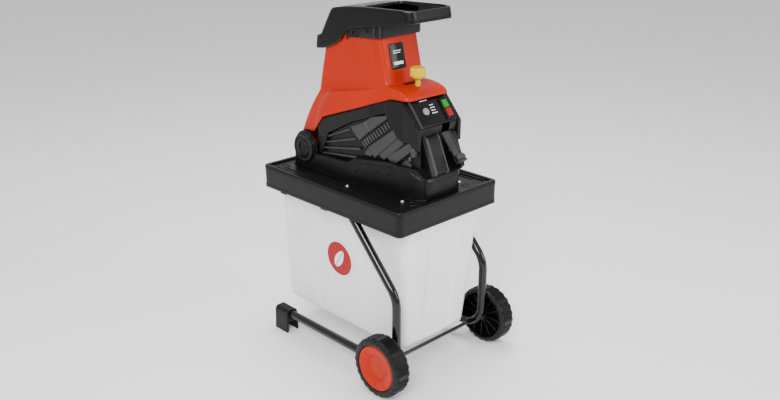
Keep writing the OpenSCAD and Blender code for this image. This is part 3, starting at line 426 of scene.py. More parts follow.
def bin_ring(z, w):
    """Outline of the bin at height z, moved in by w, with its front panel and its side flutes."""
    share = (BIN_TOP - z) / (BIN_TOP - BIN_FLOOR)
    hw = BIN_HW - BIN_TAPER * share - w
    front, rear = BIN_FRONT + 31 * share + w, BIN_REAR + share - w
    outline = whole(half_outline(hw, front, rear, 24 - w, side=110, end=34, arc=8))
    fade = smoothstep(BIN_FLOOR + 6, BIN_FLOOR + 14, z) * (1 - smoothstep(BIN_TOP - 16, BIN_TOP - 8, z))
    low_fade = 1 - smoothstep(FLUTE_TOP - 30, FLUTE_TOP, z)
    ring = []
    for x, y in outline:
        if y < front + 3:
            y += 5 * fade * (1 - smoothstep(PANEL_HW - 3, PANEL_HW + 3, abs(x)))
        elif y > rear - 3:
            y -= 3.2 * fade * (1 - smoothstep(PANEL_HW - 3, PANEL_HW + 3, abs(x)))
        elif abs(x) > hw - 1:
            dent = 0.0
            for centre, width, depth in ((-33, 8, 1.8), (-104, 8, 1.8), (40, 8, 1.4), (98, 9, 2.2),
                                         (179, 9, 2.2)):
                share_of = low_fade if centre < 60 else 1 - smoothstep(118, 150, z)
                dent += depth * share_of * (1 - smoothstep(width * 0.4, width, abs(y - centre)))
            panel = smoothstep(-196, -190, y) * (1 - smoothstep(206, 212, y))
            x -= math.copysign(dent * fade + 1.2 * fade * panel, x)
        ring.append((x, y, z))
    return ring


def make_bin():
    height = BIN_TOP - BIN_FLOOR
    levels = [BIN_FLOOR + height * i / 46 for i in range(1, 46)]
    rim = whole(half_outline(BIN_HW + BIN_RIM_OVER, BIN_FRONT - 5, BIN_REAR + 5, 30, side=110, end=34, arc=8))
    rings = [bin_ring(BIN_FLOOR, 5), bin_ring(BIN_FLOOR + 1, 1.6)]
    rings += [bin_ring(z, 0) for z in levels]
    rings += [ring_at(inset(rim, BIN_RIM_OVER - 1), BIN_TOP - 5), ring_at(inset(rim, 1), BIN_TOP - 5),
              ring_at(rim, BIN_TOP - 4), ring_at(rim, BIN_TOP - 1), ring_at(inset(rim, 1), BIN_TOP),
              bin_ring(BIN_TOP, BIN_WALL)]
    rings += [bin_ring(z, BIN_WALL) for z in reversed(levels)]
    rings += [bin_ring(BIN_FLOOR + BIN_WALL, BIN_WALL + 4)]
    piece("bin_shell", loft(rings, start=True, end=True), "bin", "bin_plastic", replaces=["bin"],
          origin=FLOOR, smooth=50)


def make_badge():
    """A round red film with a white edge and a plain leaf."""
    low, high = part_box("bin_badge")
    radius = (high.y - low.y) / 2 / MM
    slope = math.atan2(BIN_TAPER, BIN_TOP - BIN_FLOOR)
    centre = Vector((low.x, (low.y + high.y) / 2, (low.z + high.z) / 2))
    z = centre.z / MM
    centre.x = -(BIN_HW - BIN_TAPER * (BIN_TOP - z) / (BIN_TOP - BIN_FLOOR)) * MM
    turn = Matrix.Rotation(-slope, 3, "Y") @ Matrix.Rotation(math.pi, 3, "Z")

    def film(name, shape, slot, material, replaces=()):
        piece(name, moved(shape, turn), "bin", slot, origin=centre, material=material, replaces=replaces,
              smooth=40)

    edge = radius - 6
    film("badge_film", lathe(disc_profile(edge, 0.1, 0.9, 0.2), 96, closed=False), "badge_red", RED_FILM,
         ["bin_badge"])
    film("badge_edge", lathe([(0.1, edge + 0.1), (0.9, edge + 0.1), (0.9, radius - 0.3), (0.6, radius),
                              (0.1, radius)],
                             96), "light_grey_plastic", WHITE)
    leaf = []
    for i in range(41):
        t = i / 40
        leaf.append((t, 15 * math.sin(math.pi * t) ** 0.8 * (1 - 0.35 * t)))
    length = 62
    sides = []
    for sign in (1, -1):
        outline = [(sign * 1.1, (t - 0.5) * length) for t, _ in leaf[2:-2]]
        outline += [(sign * (w + 1.1), (t - 0.5) * length) for t, w in reversed(leaf[2:-2])]
        lean = math.radians(-32)
        outline = [(y * math.cos(lean) - v * math.sin(lean), y * math.sin(lean) + v * math.cos(lean))
                   for y, v in outline]
        sides.append(prism(outline, 0.92, 1.3))
    film("badge_leaf", merge(*sides), "light_grey_plastic", WHITE)


# ---- wheels ----

AXLE_LOW, AXLE_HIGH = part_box("axle")
AXLE = Vector((0, (AXLE_LOW.y + AXLE_HIGH.y) / 2, (AXLE_LOW.z + AXLE_HIGH.z) / 2))
WHEEL_LOW, WHEEL_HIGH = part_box("wheel_right")
WHEEL_X = WHEEL_LOW.x / MM
WHEEL_W = (WHEEL_HIGH.x - WHEEL_LOW.x) / MM
WHEEL_R = (WHEEL_HIGH.z - WHEEL_LOW.z) / 2 / MM
CAP_LOW, CAP_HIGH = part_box("hubcap_right")
CAP_R = (CAP_HIGH.z - CAP_LOW.z) / 2 / MM
AXLE_R = (AXLE_HIGH.z - AXLE_LOW.z) / 2 / MM
WEB_OUT = 28
LUGS = 24
RIB_STEP = math.radians(3)
TREAD_GROUPS = 8
SPOKES = 12


def tread(k, x, r, a):
    """Lowers the tread between ribs and the shoulders between lugs."""
    if r < WHEEL_R - 9:
        return r
    group = (a / (2 * math.pi / TREAD_GROUPS)) % 1
    ribbed = 0.1 < group < 0.9
    groove = (a / RIB_STEP) % 1 < 0.5
    shoulder = abs(x - WHEEL_W / 2) > WHEEL_W / 2 - 9
    lug = 0.5 + 0.5 * math.cos(a * LUGS)
    if shoulder:
        return r - 2.2 * (1 - smoothstep(0.25, 0.6, lug))
    if r > WHEEL_R - 2 and ribbed and groove:
        return r - 1.8
    return r


def make_wheel(name, side):
    w = WHEEL_W
    out = WHEEL_R
    tread_x = [9 + (w - 18) * i / 6 for i in range(7)]
    profile = [(0, AXLE_R + 1), (0, 13), (1, 14), (WEB_OUT - 6, 14.6), (WEB_OUT - 6, 61), (3, 62), (1, 62.6),
               (0, 64), (0, out - 9), (0.8, out - 5), (3, out - 2.2), (7, out - 0.6), (8.6, out - 0.3)]
    profile += [(x, out) for x in tread_x]
    profile += [(w - 8.6, out - 0.3), (w - 7, out - 0.6), (w - 3, out - 2.2), (w - 0.8, out - 5),
                (w, out - 9),
                (w, CAP_R + 4), (w - 0.6, CAP_R + 1.6), (w - 3, CAP_R + 0.4), (WEB_OUT, CAP_R + 0.4),
                (WEB_OUT, AXLE_R + 1)]
    tyre = lathe(profile, 720, radius=tread)
    parts = [tyre]
    for i in range(SPOKES):
        turn = Matrix.Rotation(2 * math.pi * i / SPOKES, 3, "X")
        thin = [(x2, y2, z2) for x2, y2, z2 in [(5, 13, -1.2), (5, 61.6, -1.2), (5, 61.6, 1.2), (5, 13, 1.2),
                                                (WEB_OUT - 5, 13, -1.6), (WEB_OUT - 5, 61.6, -1.6),
                                                (WEB_OUT - 5, 61.6, 1.6), (WEB_OUT - 5, 13, 1.6)]]
        parts.append(moved((thin, [(0, 1, 2, 3), (7, 6, 5, 4), (0, 4, 5, 1), (1, 5, 6, 2), (2, 6, 7, 3),
                                   (3, 7, 4, 0)]),
                           turn))
    shape = moved(merge(*parts), shift=(WHEEL_X, 0, 0))
    if side < 0:
        shape = mirrored(shape)
    body = "left_wheel" if side < 0 else "right_wheel"
    piece(name, shape, body, "wheel_black", replaces=["wheel_left" if side < 0 else "wheel_right"],
          origin=AXLE,
          smooth=30)


def make_cap(name, side):
    w = WHEEL_W
    profile = [(WEB_OUT + 0.3, CAP_R - 3), (WEB_OUT + 0.3, CAP_R), (w - 3, CAP_R), (w - 1, CAP_R - 1.2),
               (w - 0.2, CAP_R - 3.2), (w - 0.6, CAP_R - 5.5), (w - 1.4, 48), (w - 2.4, 44), (w - 3.6, 40),
               (w - 5, 36),
               (w - 6.2, 33.4), (w - 7.4, 31.6), (w - 9.6, 30), (w - 10.4, 28), (w - 10.6, 22),
               (w - 10.6, 14),
               (w - 10, 8), (w - 9.4, 4), (w - 9.4, 0), (w - 13, 0), (w - 13, 30), (w - 8, 36), (w - 5, 46),
               (w - 5, CAP_R - 3)]

    def dimples(k, x, r, a):
        if 38 <= r <= 46 and x > w - 4.5:
            near = 0.5 + 0.5 * math.cos(a * 8)
            return x - 1.2 * smoothstep(0.9, 0.99, near)
        return x

    shape = moved(lathe(profile, 144, depth=dimples), shift=(WHEEL_X, 0, 0))
    if side < 0:
        shape = mirrored(shape)
    body = "left_wheel" if side < 0 else "right_wheel"
    piece(name, shape, body, "orange_plastic", replaces=["hubcap_left" if side < 0 else "hubcap_right"],
          origin=AXLE,
          smooth=38)


# ---- feet ----

def make_foot(name, node):
    low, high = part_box(node)
    cx, cy = (low.x + high.x) / 2, (low.y + high.y) / 2
    hw, hl, height = (high.x - low.x) / 2 / MM, (high.y - low.y) / 2 / MM, high.z / MM
    leg, roof = 5, height - 32
    outline = [(-hw, 0), (-hw + 1.2, 20), (-hw + 2.4, height - 10), (-hw + 5, height - 4), (-hw + 9, height),
               (hw - 9, height), (hw - 5, height - 4), (hw - 2.4, height - 10), (hw - 1.2, 20), (hw, 0),
               (hw - leg, 0),
               (hw - leg - 1.5, roof - 4), (hw - leg - 5, roof), (-hw + leg + 5, roof),
               (-hw + leg + 1.5, roof - 4),
               (-hw + leg, 0)]
    turn = Matrix.Rotation(math.radians(90), 3, "Z")
    shape = moved(prism([(y, z) for y, z in outline], -hl, hl), turn)
    piece(name, shape, "chassis", "black_plastic", replaces=[node], origin=Vector((cx, cy, 0)), bevel=1.6)


# ---- hopper ----

NECK_HW = 65
SEAM_AT = 184
TILT = math.radians(20)
PIVOT = (163, 56)
ARCH_R = 45
SKIRT_HW = 95


def seam(y):
    return SEAM_AT - y * math.tan(TILT)


def skirt_edge(x, y):
    """Lower edge of the orange skirt: level at the front, the joint line, then an arch over the hinge cap."""
    if y < 100:
        return min(231, seam(y)) + 0.6
    arch = PIVOT[1] + math.sqrt(max(0,
                                    ARCH_R ** 2 - (y - PIVOT[0]) ** 2)) if abs(y - PIVOT[0]) < ARCH_R else 78
    line = along([(100, seam(100)), (138, 101)], y)
    return max(line, arch) + 0.6 if y < 150 else arch + 0.6


def neck_ring(front, rear, hw, r):
    """A ring of the neck in the plane through its front and rear points, each (y, z)."""
    half = half_outline(hw, 0, 1000, r, side=40, end=12, arc=8)
    span = math.dist(front, rear)
    ring = []
    for x, s in whole(half):
        if s <= r:
            v = s / span
        elif s >= 1000 - r:
            v = 1 - (1000 - s) / span
        else:
            v = (r + (s - r) / (1000 - 2 * r) * (span - 2 * r)) / span
        ring.append((x, front[0] + (rear[0] - front[0]) * v, front[1] + (rear[1] - front[1]) * v))
    return ring


def make_hopper():
    neck = [((-74, 381), (99, 381), 65, 14), ((-79, 358), (108, 362), 65, 14),
            ((-87, 325), (121, 328), 65, 14),
            ((-95, 292), (129, 296), 65, 14), ((-101, 267), (137, 262), 65.5, 14),
            ((-103.6, 259.5), (144, 228), 66, 14),
            ((-105, 257.6), (147, 208), 67, 14), ((-107, 256.9), (150, 201), 68.6, 15)]
    rings = [neck_ring(*station) for station in neck]
    rim = whole(half_outline(SKIRT_HW, -178, 203, 15, side=40, end=12, arc=8))
    last = []
    for x, y in rim:
        narrow = along([(-178, 0.74), (-100, 0.88), (-45, 0.98), (-10, 1), (120, 1), (200, 85 / SKIRT_HW)], y)
        last.append((x * narrow, y, skirt_edge(x, y)))
    crease = rings[-1]
    for i in range(1, 15):
        t = i / 14
        ring = []
        for (x0, y0, z0), (x1, y1, z1) in zip(crease, last):
            out, down = math.sin(t * math.pi / 2), 1 - math.cos(t * math.pi / 2)
            straight = smoothstep(60, 150, y0)
            out, down = out + (t - out) * straight * 0.8, down + (t - down) * straight * 0.8
            ring.append((x0 + (x1 - x0) * out, y0 + (y1 - y0) * out, z0 + (z1 - z0) * down))
        rings.append(ring)
    piece("hopper_cover", loft(rings), "hopper", "orange_plastic", replaces=["hopper_shell"], wall=2.6,
          smooth=42)

    apron = []
    for i in range(15):
        a = math.radians(-22 + 62 * i / 14)
        apron.append((PIVOT[0] + 46 * math.cos(a), PIVOT[1] + 46 * math.sin(a)))
    apron += [(PIVOT[0] + 43.5 * math.cos(a), PIVOT[1] + 43.5 * math.sin(a))
              for a in (math.radians(40 - 62 * i / 14) for i in range(15))]
    piece("hopper_apron", prism(apron, -78, 78), "hopper", "orange_plastic", smooth=30)
    ears = []
    for x0, x1 in ((88, 95.5), (-95.5, -88)):
        outline = [(PIVOT[0] + 27 * math.cos(a), PIVOT[1] + 27 * math.sin(a))
                   for a in (2 * math.pi * i / 48 for i in range(48))]
        ears.append(prism(outline, x0, x1))
    piece("hopper_ears", merge(*ears), "hopper", "orange_plastic", bevel=0.8)
    panels = []
    for side in (1, -1):
        outline = [(-66, 266), (-60, 360), (88, 356), (101, 330), (124, 262), (129, 232), (96, 228)]
        panels.append(prism(outline, side * 63, side * 65.9))
    piece("neck_panels", merge(*panels), "hopper", "orange_plastic", bevel=0.8)
    # The slot is a thin black pad on the orange deck, not a hollow: painted shade standing in for the shadowed
    # recess there.
    slot = [(x, y) for x, y in whole(half_outline(24, -149, -112, 4, side=4, end=4, arc=4))]
    recess = loft([ring_at(slot, lambda x, y: along(DECK_LINE, y) - 1.5),
                   ring_at(inset(slot, 0.5), lambda x, y: along(DECK_LINE, y) + 0.55)], start=True, end=True)
    piece("deck_slot_painted_shade", recess, "hopper", "panel_black", material=BLACK, smooth=30)


DECK_LINE = [(-178, 233), (-165, 244.5), (-156, 249.4), (-140, 253.5), (-120, 256.2), (-105, 257.4)]


# ---- hood ----

HOOD_HW = 74
HOOD_LOW = [(-188, 410), (-151, 403), (-86, 393), (-18, 382), (18, 375.5), (28.6, 371), (36, 364),
            (43.5, 353.5),
            (50, 346), (58, 341.5), (81, 329), (112, 318), (154, 312)]
HOOD_TOP = [(-186, 437), (-150, 437.5), (-86, 435.3), (-25, 433), (34, 427.6), (60, 423.5), (92, 418)]


def hood_outline(front, rear, w=0, r=20):
    return whole(half_outline(HOOD_HW - w, front + w, rear - w, r - w, side=90, end=14, arc=8))


def make_hood():
    stations = [(0.0, -184, 154, 1.2), (0.02, -186.4, 153.9, 0.2), (0.05, -187, 153.6, 0),
                (0.28, -187, 150, 0),
                (0.31, -187, 148, 0), (0.345, -186.6, 134.5, 0), (0.38, -186.4, 131.5, 0),
                (0.5, -185.6, 124, 0),
                (0.65, -184.6, 114.5, 0), (0.8, -183.6, 105, 0), (0.93, -182.6, 96.6, 0),
                (0.97, -181, 94, 0.8),
                (0.995, -179, 91.4, 2.6), (1.0, -176, 87, 5.5)]
    rings = []
    for share, front, rear, w in stations:
        ring = []
        for x, y in hood_outline(front, rear, w):
            low, top = along(HOOD_LOW, y), along(HOOD_TOP, y)
            ring.append((x, y, low + (top - low) * share))
        rings.append(ring)
    hood = piece("hood_cover", loft(rings, start=True, end=True), "hopper", "black_plastic",
                 replaces=["hood"],
                 material=SATIN)

    def dish_floor(x, y):
        return along([(-180, 425), (-100, 409), (-82, 401), (-20, 400)], y)

    dish_steps = [(0, 445, 0), (0, 434.5, 0), (1.2, 433, 0), (2.6, 431, 0), (5, 417, 1), (8, 412, 1),
                  (14, 0, 2)]
    cutter = []
    for w, z, kind in dish_steps:
        outline = whole(half_outline(66 - w, -179 + w, -16 - w * 0.4, 22 - w, side=24, end=10, arc=8))
        if kind == 0:
            cutter.append(ring_at(outline, z))
        elif kind == 1:
            cutter.append(ring_at(outline, lambda x, y,
                                  z=z: max(dish_floor(x, y) + (z - 408), dish_floor(x, y) + 2)))
        else:
            cutter.append(ring_at(outline, dish_floor))
    cavity_side = [(-80, 360), (-80, 425), (-30, 426), (-22, 425), (60, 414), (88, 408), (124, 352),
                   (128, 344),
                   (146, 340), (149, 305), (54, 305), (50, 330)]
    cavity = prism(cavity_side, -(HOOD_HW - 4), HOOD_HW - 4)
    carve(hood, [loft(cutter, start=True, end=True), cavity])


def make_band():
    """Collar between the neck and the hood, with two upright ribs at each front corner."""
    hw, front = NECK_HW + 5.4, -86
    outline = whole(half_outline(hw, front, 40, 14, side=30, end=10, arc=8))
    rise = [(-86, 27.5), (27, 18), (40, 16)]
    rings = []
    for w, share in ((3.6, 0), (0.6, 0), (0, 0.04), (0, 0.97)):
        ring = []
        for x, y in inset(outline, w):
            top = along(HOOD_LOW, y) - 0.3
            ring.append((x, y, top - along(rise, y) * (1 - share)))
        rings.append(ring)
    top_in = [(x, y, along(HOOD_LOW, y) - 0.3) for x, y in inset(outline, 3.6)]
    rings.append(top_in)
    piece("hood_collar", loft(rings, closed=True), "hopper", "panel_black", replaces=["hood_band"],
          material=BLACK,
          smooth=35)
    ribs = []
    for side in (1, -1):
        for x, y in ((70.9, -66), (66.4, -81)):
            post = lathe(disc_profile(1.7, 366, 392, 0.5), 16, closed=False)
            ribs.append(upright(post, (side * x, y, 0)))
    piece("collar_ribs", merge(*ribs), "hopper", "grey_plastic", smooth=40)


def make_plate():
    """Blank black plate on the neck, with a few plain bars."""
    low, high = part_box("rating_plate")
    lean = math.atan2(30, 124)
    centre = (low + high) / 2 - DECK
    hw, hh = (high.x - low.x) / 2 / MM, 30
    turn = Matrix.Rotation(-lean, 3, "X")

    def on_plate(shape):
        return moved(moved(shape, turn), shift=centre / MM)

    corner = 4
    outline = half_outline(hw, -hh, hh, corner, side=4, end=4, arc=5)
    face = [(x, -0.5, z) for x, z in whole(outline)]
    back = [(x, 0.5, z) for x, z in whole(outline)]
    front = [(x * 0.985, -0.7, z * 0.99) for x, z in whole(outline)]
    piece("name_plate", on_plate(loft([back, face, front], start=True, end=True)), "hopper", "panel_black",
          replaces=["rating_plate"])
    bars = [block((-13, -1.0, 12 - 5 * i), (13 - 3 * i, -0.6, 13.6 - 5 * i)) for i in range(2)]
    bars.append(block((-15, -1.0, -20), (15, -0.6, -13)))
    piece("plate_bars", on_plate(merge(*bars)), "hopper", "light_grey_plastic", material=WHITE)


def make_knob():
    low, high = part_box("lock_knob")
    centre = Vector(((low.x + high.x) / 2, (low.y + high.y) / 2, DECK.z))
    base, top = 271, (high.z - DECK.z) / MM
    r = 19

    def grips(k, x, rad, a):
        if rad < r - 3 or x < base + 4 or x > top - 2:
            return rad
        return rad - 1.5 * smoothstep(0.35, 0.9, 0.5 + 0.5 * math.cos(a * 14))

    profile = [(base, 0), (base, 11), (base + 1, 13), (base + 3, 14.5), (base + 5, r - 1.6),
               (base + 6.5, r - 0.4),
               (base + 9, r), (top - 6, r), (top - 3.6, r - 0.3), (top - 1.6, r - 1.5), (top - 0.5, r - 3.4),
               (top, r - 6), (top - 0.6, r - 8), (top - 0.8, 0)]
    head = lathe(profile, 168, closed=False, radius=grips)
    stem_r = 6.6
    thread = [(223, 0), (223, stem_r - 1)]
    count = 24
    for i in range(count):
        x = 225 + i * 1.95
        thread += [(x, stem_r - 1.1), (x + 0.9, stem_r + 0.3)]
    thread += [(base + 0.5, stem_r), (base + 0.5, 0)]
    stem = lathe(thread, 40, closed=False)
    piece("knob", upright(merge(head, stem)), "knob", "yellow_plastic", replaces=["lock_knob"], origin=centre,
          smooth=38)


# ---- base ----

SHOE_HALF = [(0, -231.5), (50, -231.5), (64, -223), (74, -206), (87, -168), (97.6, -80), (108.4, -12),
             (105.4, 104),
             (101.4, 196), (96, 214.6), (60, 218.6), (0, 218.6)]
SHOE_TOP = [(-232, 75), (-206, 76.5), (-130, 81.4), (-24, 70.4), (-9, 56), (110, 49.4), (219, 44.4)]
SHOE_DROP = [(-232, 33), (-222, 30), (-196, 14), (-150, 12), (-60, 11), (-30, 9), (-8, 4), (219, 3)]
SHOE_IN = [(-232, 26), (-222, 24), (-196, 11), (-150, 9), (-60, 8), (-30, 7), (-8, 4), (219, 3)]


def make_shoe():
    """Lower skirt of the base: sloping shelf, step at the side and a recessed panel on each side."""
    outline = whole(smooth_half(SHOE_HALF, 180, rounds=2))

    def recess(y, z):
        slant = along([(0, -11), (48, -45)], z)
        ceiling = along([(-232, 40), (-216, 46), (-190, 50), (-41, 48)], y)
        return (smoothstep(0, 2, slant - y) * smoothstep(0, 1.5, ceiling - z) * smoothstep(1, 2, z)
                * smoothstep(-228, -221, y))

    rings = []
    for i in range(41):
        ring = []
        for (x, y), (ix, iy) in zip(outline, inset(outline, 1)):
            z = 0.15 + (along(SHOE_TOP, y) - along(SHOE_DROP, y)) * i / 40
            d = 5.2 * recess(y, z)
            ring.append((x + (ix - x) * d, y + (iy - y) * d, z))
        rings.append(ring)
    for share_in, share_up in ((0.06, 0.16), (0.2, 0.34), (0.75, 0.86), (0.9, 0.97), (1.05, 1.0), (1.6, 1.0)):
        ring = []
        for (x, y), (ix, iy) in zip(outline, inset(outline, 1)):
            w = along(SHOE_IN, y) * share_in
            top, drop = along(SHOE_TOP, y), along(SHOE_DROP, y)
            ring.append((x + (ix - x) * w, y + (iy - y) * w, top - drop * (1 - share_up)))
        rings.append(ring)
    piece("base_shoe", loft(rings), "chassis", "black_plastic", wall=0.8, smooth=36)


def inside(y, z, polygon):
    """Signed distance from a polygon's edge: positive within it."""
    best, within = 1e9, False
    for (ay, az), (by, bz) in zip(polygon, polygon[1:] + polygon[:1]):
        dy, dz = by - ay, bz - az
        t = max(0, min(1, ((y - ay) * dy + (z - az) * dz) / (dy * dy + dz * dz)))
        best = min(best, math.hypot(y - ay - t * dy, z - az - t * dz))
        if (az > z) != (bz > z) and y < ay + (z - az) / (bz - az) * (by - ay):
            within = not within
    return best if within else -best


WALL_HALF = [(-215, 64.6), (-168, 64.6), (-130, 72.6), (-70, 83.4), (130, 83.4)]
RECESS = [(112, 46), (80, 112), (66, 118), (-3, 154), (-75, 181), (-116, 197), (-122, 190), (-150, 141),
          (-168, 134),
          (-186, 136), (-204, 124), (-230, 123), (-230, 50), (112, 30)]
CHEEK = [(-118, 204), (-122, 190), (-150, 141), (-168, 134), (-186, 136), (-204, 124), (-214, 122),
         (-214, 172),
         (-165, 232), (-128, 232), (-118, 222)]
FINS = [((96, 96), (4, 134)), ((105, 80), (-18, 115)), ((107, 66), (-32, 92)), ((114, 51), (-20, 68))]
BANDS = [([(-50, 166), (-70, 143), (-118, 181), (-118, 192), (-74, 182)], 7.6),
         ([(6, 141), (-48, 164), (-67, 143), (-29, 111)], 4.6),
         ([(-62, 104), (-84, 80), (-160, 150), (-160, 164), (-151, 172)], 7.8),
         ([(-68, 80), (-80, 92), (-58, 100), (-44, 80)], 4.0),
         ([(-92, 92), (-108, 78), (-164, 126), (-164, 136), (-153, 146)], 5.6),
         ([(-118, 90), (-138, 72), (-196, 120), (-196, 130), (-184, 138)], 8.0),
         ([(-158, 150), (-174, 152), (-176, 136), (-163, 134)], 7.0),
         ([(-148, 72), (-172, 92), (-190, 82), (-184, 70)], 6.0)]
TEETH = ((-42, 104), (-132, 176))
TOOTH_COUNT = 12


def inside_wall(y, z):
    """Height of the frame band around the relief, over the wall of the base."""
    depth = inside(y, z, RECESS)
    return 9.4 * (1 - smoothstep(-0.4, 2.0, depth)) + 1.6 * smoothstep(-0.4, 1.2, inside(y, z, CHEEK))


def raised(outline, height, chamfer=1.4, lean=0.0):
    """A block standing on the base's wall, with a slanted edge and its outer end sunk by lean."""
    area = sum(a[0] * b[1] - b[0] * a[1] for a, b in zip(outline, outline[1:] + outline[:1]))
    if area < 0:
        outline = outline[::-1]
    count = len(outline)

    def shrunk(w):
        points = []
        for i in range(count):
            (ax, ay), (bx, by), (cx, cy) = outline[i - 1], outline[i], outline[(i + 1) % count]
            d0, d1 = math.dist((ax, ay), (bx, by)), math.dist((bx, by), (cx, cy))
            n0, n1 = (-(by - ay) / d0, (bx - ax) / d0), (-(cy - by) / d1, (cx - bx) / d1)
            scale = w / max(0.35, 1 + n0[0] * n1[0] + n0[1] * n1[1])
            points.append((bx + (n0[0] + n1[0]) * scale, by + (n0[1] + n1[1]) * scale))
        return points

    rings = []
    for w, h in ((0, -1), (0.2, height - chamfer), (chamfer, height)):
        rings.append([(along(WALL_HALF, y) + h, y, z) for y, z in shrunk(w)])
    points = [p for ring in rings for p in ring]
    faces = [tuple(reversed(range(count))), tuple(range(2 * count, 3 * count))]
    for k in range(2):
        faces += [(k * count + i, k * count + (i + 1) % count, (k + 1) * count + (i + 1) % count,
                   (k + 1) * count + i)
                  for i in range(count)]
    return points, faces


def bar(a, b, w0, w1):
    """Outline of a strip from a to b with half widths w0 and w1."""
    length = math.dist(a, b)
    ny, nz = -(b[1] - a[1]) / length, (b[0] - a[0]) / length
    return [(a[0] + ny * w0, a[1] + nz * w0), (a[0] - ny * w0, a[1] - nz * w0),
            (b[0] - ny * w1, b[1] - nz * w1), (b[0] + ny * w1, b[1] + nz * w1)]


def make_relief(name, node, side):
    """Frame band and cheek as one closed panel; fins, bands, teeth and pipe ends stand in its recess."""
    columns, rows = 210, 110
    upper = [(-214, 172), (-163, 229.6), (-129, 229.6), (100, seam(100) - 1.6), (121, 119)]
    grid, back = [], []
    for i in range(columns + 1):
        y = -214 + 335 * i / columns
        low, high = along([(-214, 57), (-200, 68), (-130, 72), (-24, 61), (-8, 48), (121, 40)],
                          y), along(upper, y)
        wall = along(WALL_HALF, y)
        for j in range(rows + 1):
            z = low + (high - low) * j / rows
            edge = smoothstep(0, 1.6, high - z) * 1.4 - 1.4
            grid.append((wall + inside_wall(y, z) + edge, y, z))
            back.append((wall - 1.2, y, z))
    stride = rows + 1
    faces = []
    total = len(grid)
    for i in range(columns):
        for j in range(rows):
            a = i * stride + j
            faces.append((a, a + stride, a + stride + 1, a + 1))
            faces.append((total + a, total + a + 1, total + a + stride + 1, total + a + stride))
    border = [i * stride for i in range(columns + 1)]
    border += [columns * stride + j for j in range(1, stride)]
    border += [i * stride + rows for i in range(columns - 1, -1, -1)]
    border += [j for j in range(rows - 1, 0, -1)]
    for a, b in zip(border, border[1:] + border[:1]):
        faces.append((a, b, total + b, total + a))
    panel = (grid + back, faces)
    blocks = [raised(bar(a, b, 2.4, 3.2), 7.4, 1.2) for a, b in FINS]
    blocks += [raised(outline, height, 1.8) for outline, height in BANDS]
    (ay, az), (by, bz) = TEETH
    for i in range(TOOTH_COUNT):
        t = (i + 0.5) / TOOTH_COUNT
        cy, cz = ay + (by - ay) * t, az + (bz - az) * t
        ny, nz = -(bz - az) / 115, (by - ay) / 115
        blocks.append(raised(bar((cy - ny * 9, cz - nz * 9), (cy + ny * 9, cz + nz * 9), 2.1, 2.1), 5.2, 0.8))
    for (py, pz), r in (((-198, 116), 13.5), ((-184, 96), 7)):
        blocks.append(raised([(py + r * 0.62 * math.cos(a), pz + r * math.sin(a))
                              for a in (2 * math.pi * k / 24 for k in range(24))], 11 if r > 10 else 8, 2.4))
    relief = merge(*blocks)
    dots = merge(*[moved(lathe([(8, 0), (9.9, 1.6), (9.9, 2.6), (8, 2.8)], 20, closed=False),
                         shift=(along(WALL_HALF, y), y, z))
                   for y, z in ((99, 102), (-3, 172))])
    shapes = [panel, relief, dots]
    if side < 0:
        shapes = [mirrored(shape) for shape in shapes]
    piece(name, shapes[0], "chassis", "black_plastic", replaces=[node], smooth=36)
    # The fins, bands, teeth and pipe ends take the lighter grey moulding as a painted highlight: it stands in
    # for their lit top faces on the black base.
    piece(name + "_blocks_painted_highlight", shapes[1], "chassis", "grey_plastic", smooth=25)
    piece(name + "_dots", shapes[2], "chassis", "black_tube", smooth=25)


def make_hinge_cap(side):
    profile = [(95.8, 0), (95.8, 44.2), (96.6, 44.6), (99.4, 44.6), (100.2, 44), (100.4, 40), (104.2, 39.8),
               (105.2, 39), (105.4, 37.6), (109.4, 37.4), (110.6, 36.2), (111, 34), (110.2, 31), (109, 29.6),
               (109, 23), (109.6, 21.4), (110.9, 20), (111, 17.5), (110.2, 16),
               (108.2, 15.4), (108, 6), (108, 0)]
    cap = lathe(profile, 96, closed=False)
    slot_bits = [block((107.9, -9, -1.6), (109.4, 9, 1.6)), block((107.9, -1.6, -9), (109.4, 1.6, 9))]
    skirt = prism([(40, 2), (40, -50), (37, -53), (-30, -53), (-39.6, -40), (-39.6, 2)], 98.9, 105)
    ribs = [block((104, 33 - 7 * i, -50), (106.2, 35.4 - 7 * i, -26)) for i in range(3)]
    shape = moved(merge(cap, *slot_bits, skirt, *ribs), shift=(0, PIVOT[0], PIVOT[1]))
    if side < 0:
        shape = mirrored(shape)
    return shape


def make_hinge():
    shape = merge(make_hinge_cap(1), make_hinge_cap(-1))
    piece("hinge_covers", shape, "chassis", "black_plastic", replaces=["hinge_caps"], bevel=0.4, smooth=34)


PANEL_TOP = Vector((0, -163, 231))
PANEL_FOOT = Vector((0, -212, 170))
PANEL_DOWN = (PANEL_FOOT - PANEL_TOP).normalized()
PANEL_OUT = Vector((0, PANEL_DOWN.z, -PANEL_DOWN.y))
PANEL_LEN = (PANEL_FOOT - PANEL_TOP).length


def on_panel(shape, x=0, down=0, out=0):
    """Moves a shape drawn flat (X across, Y up the panel, Z outwards) onto the control panel."""
    turn = Matrix((Vector((1, 0, 0)), -PANEL_DOWN, PANEL_OUT)).transposed()
    return moved(shape, turn, PANEL_TOP + PANEL_DOWN * down + PANEL_OUT * out + Vector((x, 0, 0)))


def pad(hw, hh, low, high, r, edge=1.0):
    """A flat pad with rounded corners and edge, drawn flat."""
    outline = whole(half_outline(hw, -hh, hh, r, side=4, end=4, arc=5))
    return loft([ring_at(outline, low), ring_at(outline, high - edge),
                 ring_at(inset(outline, edge * 0.4), high - edge * 0.3),
                 ring_at(inset(outline, edge * 1.2), high)], start=True, end=True)


SWITCH_X, SWITCH_V = 46, 42
RESET_X, RESET_V = -22, 38


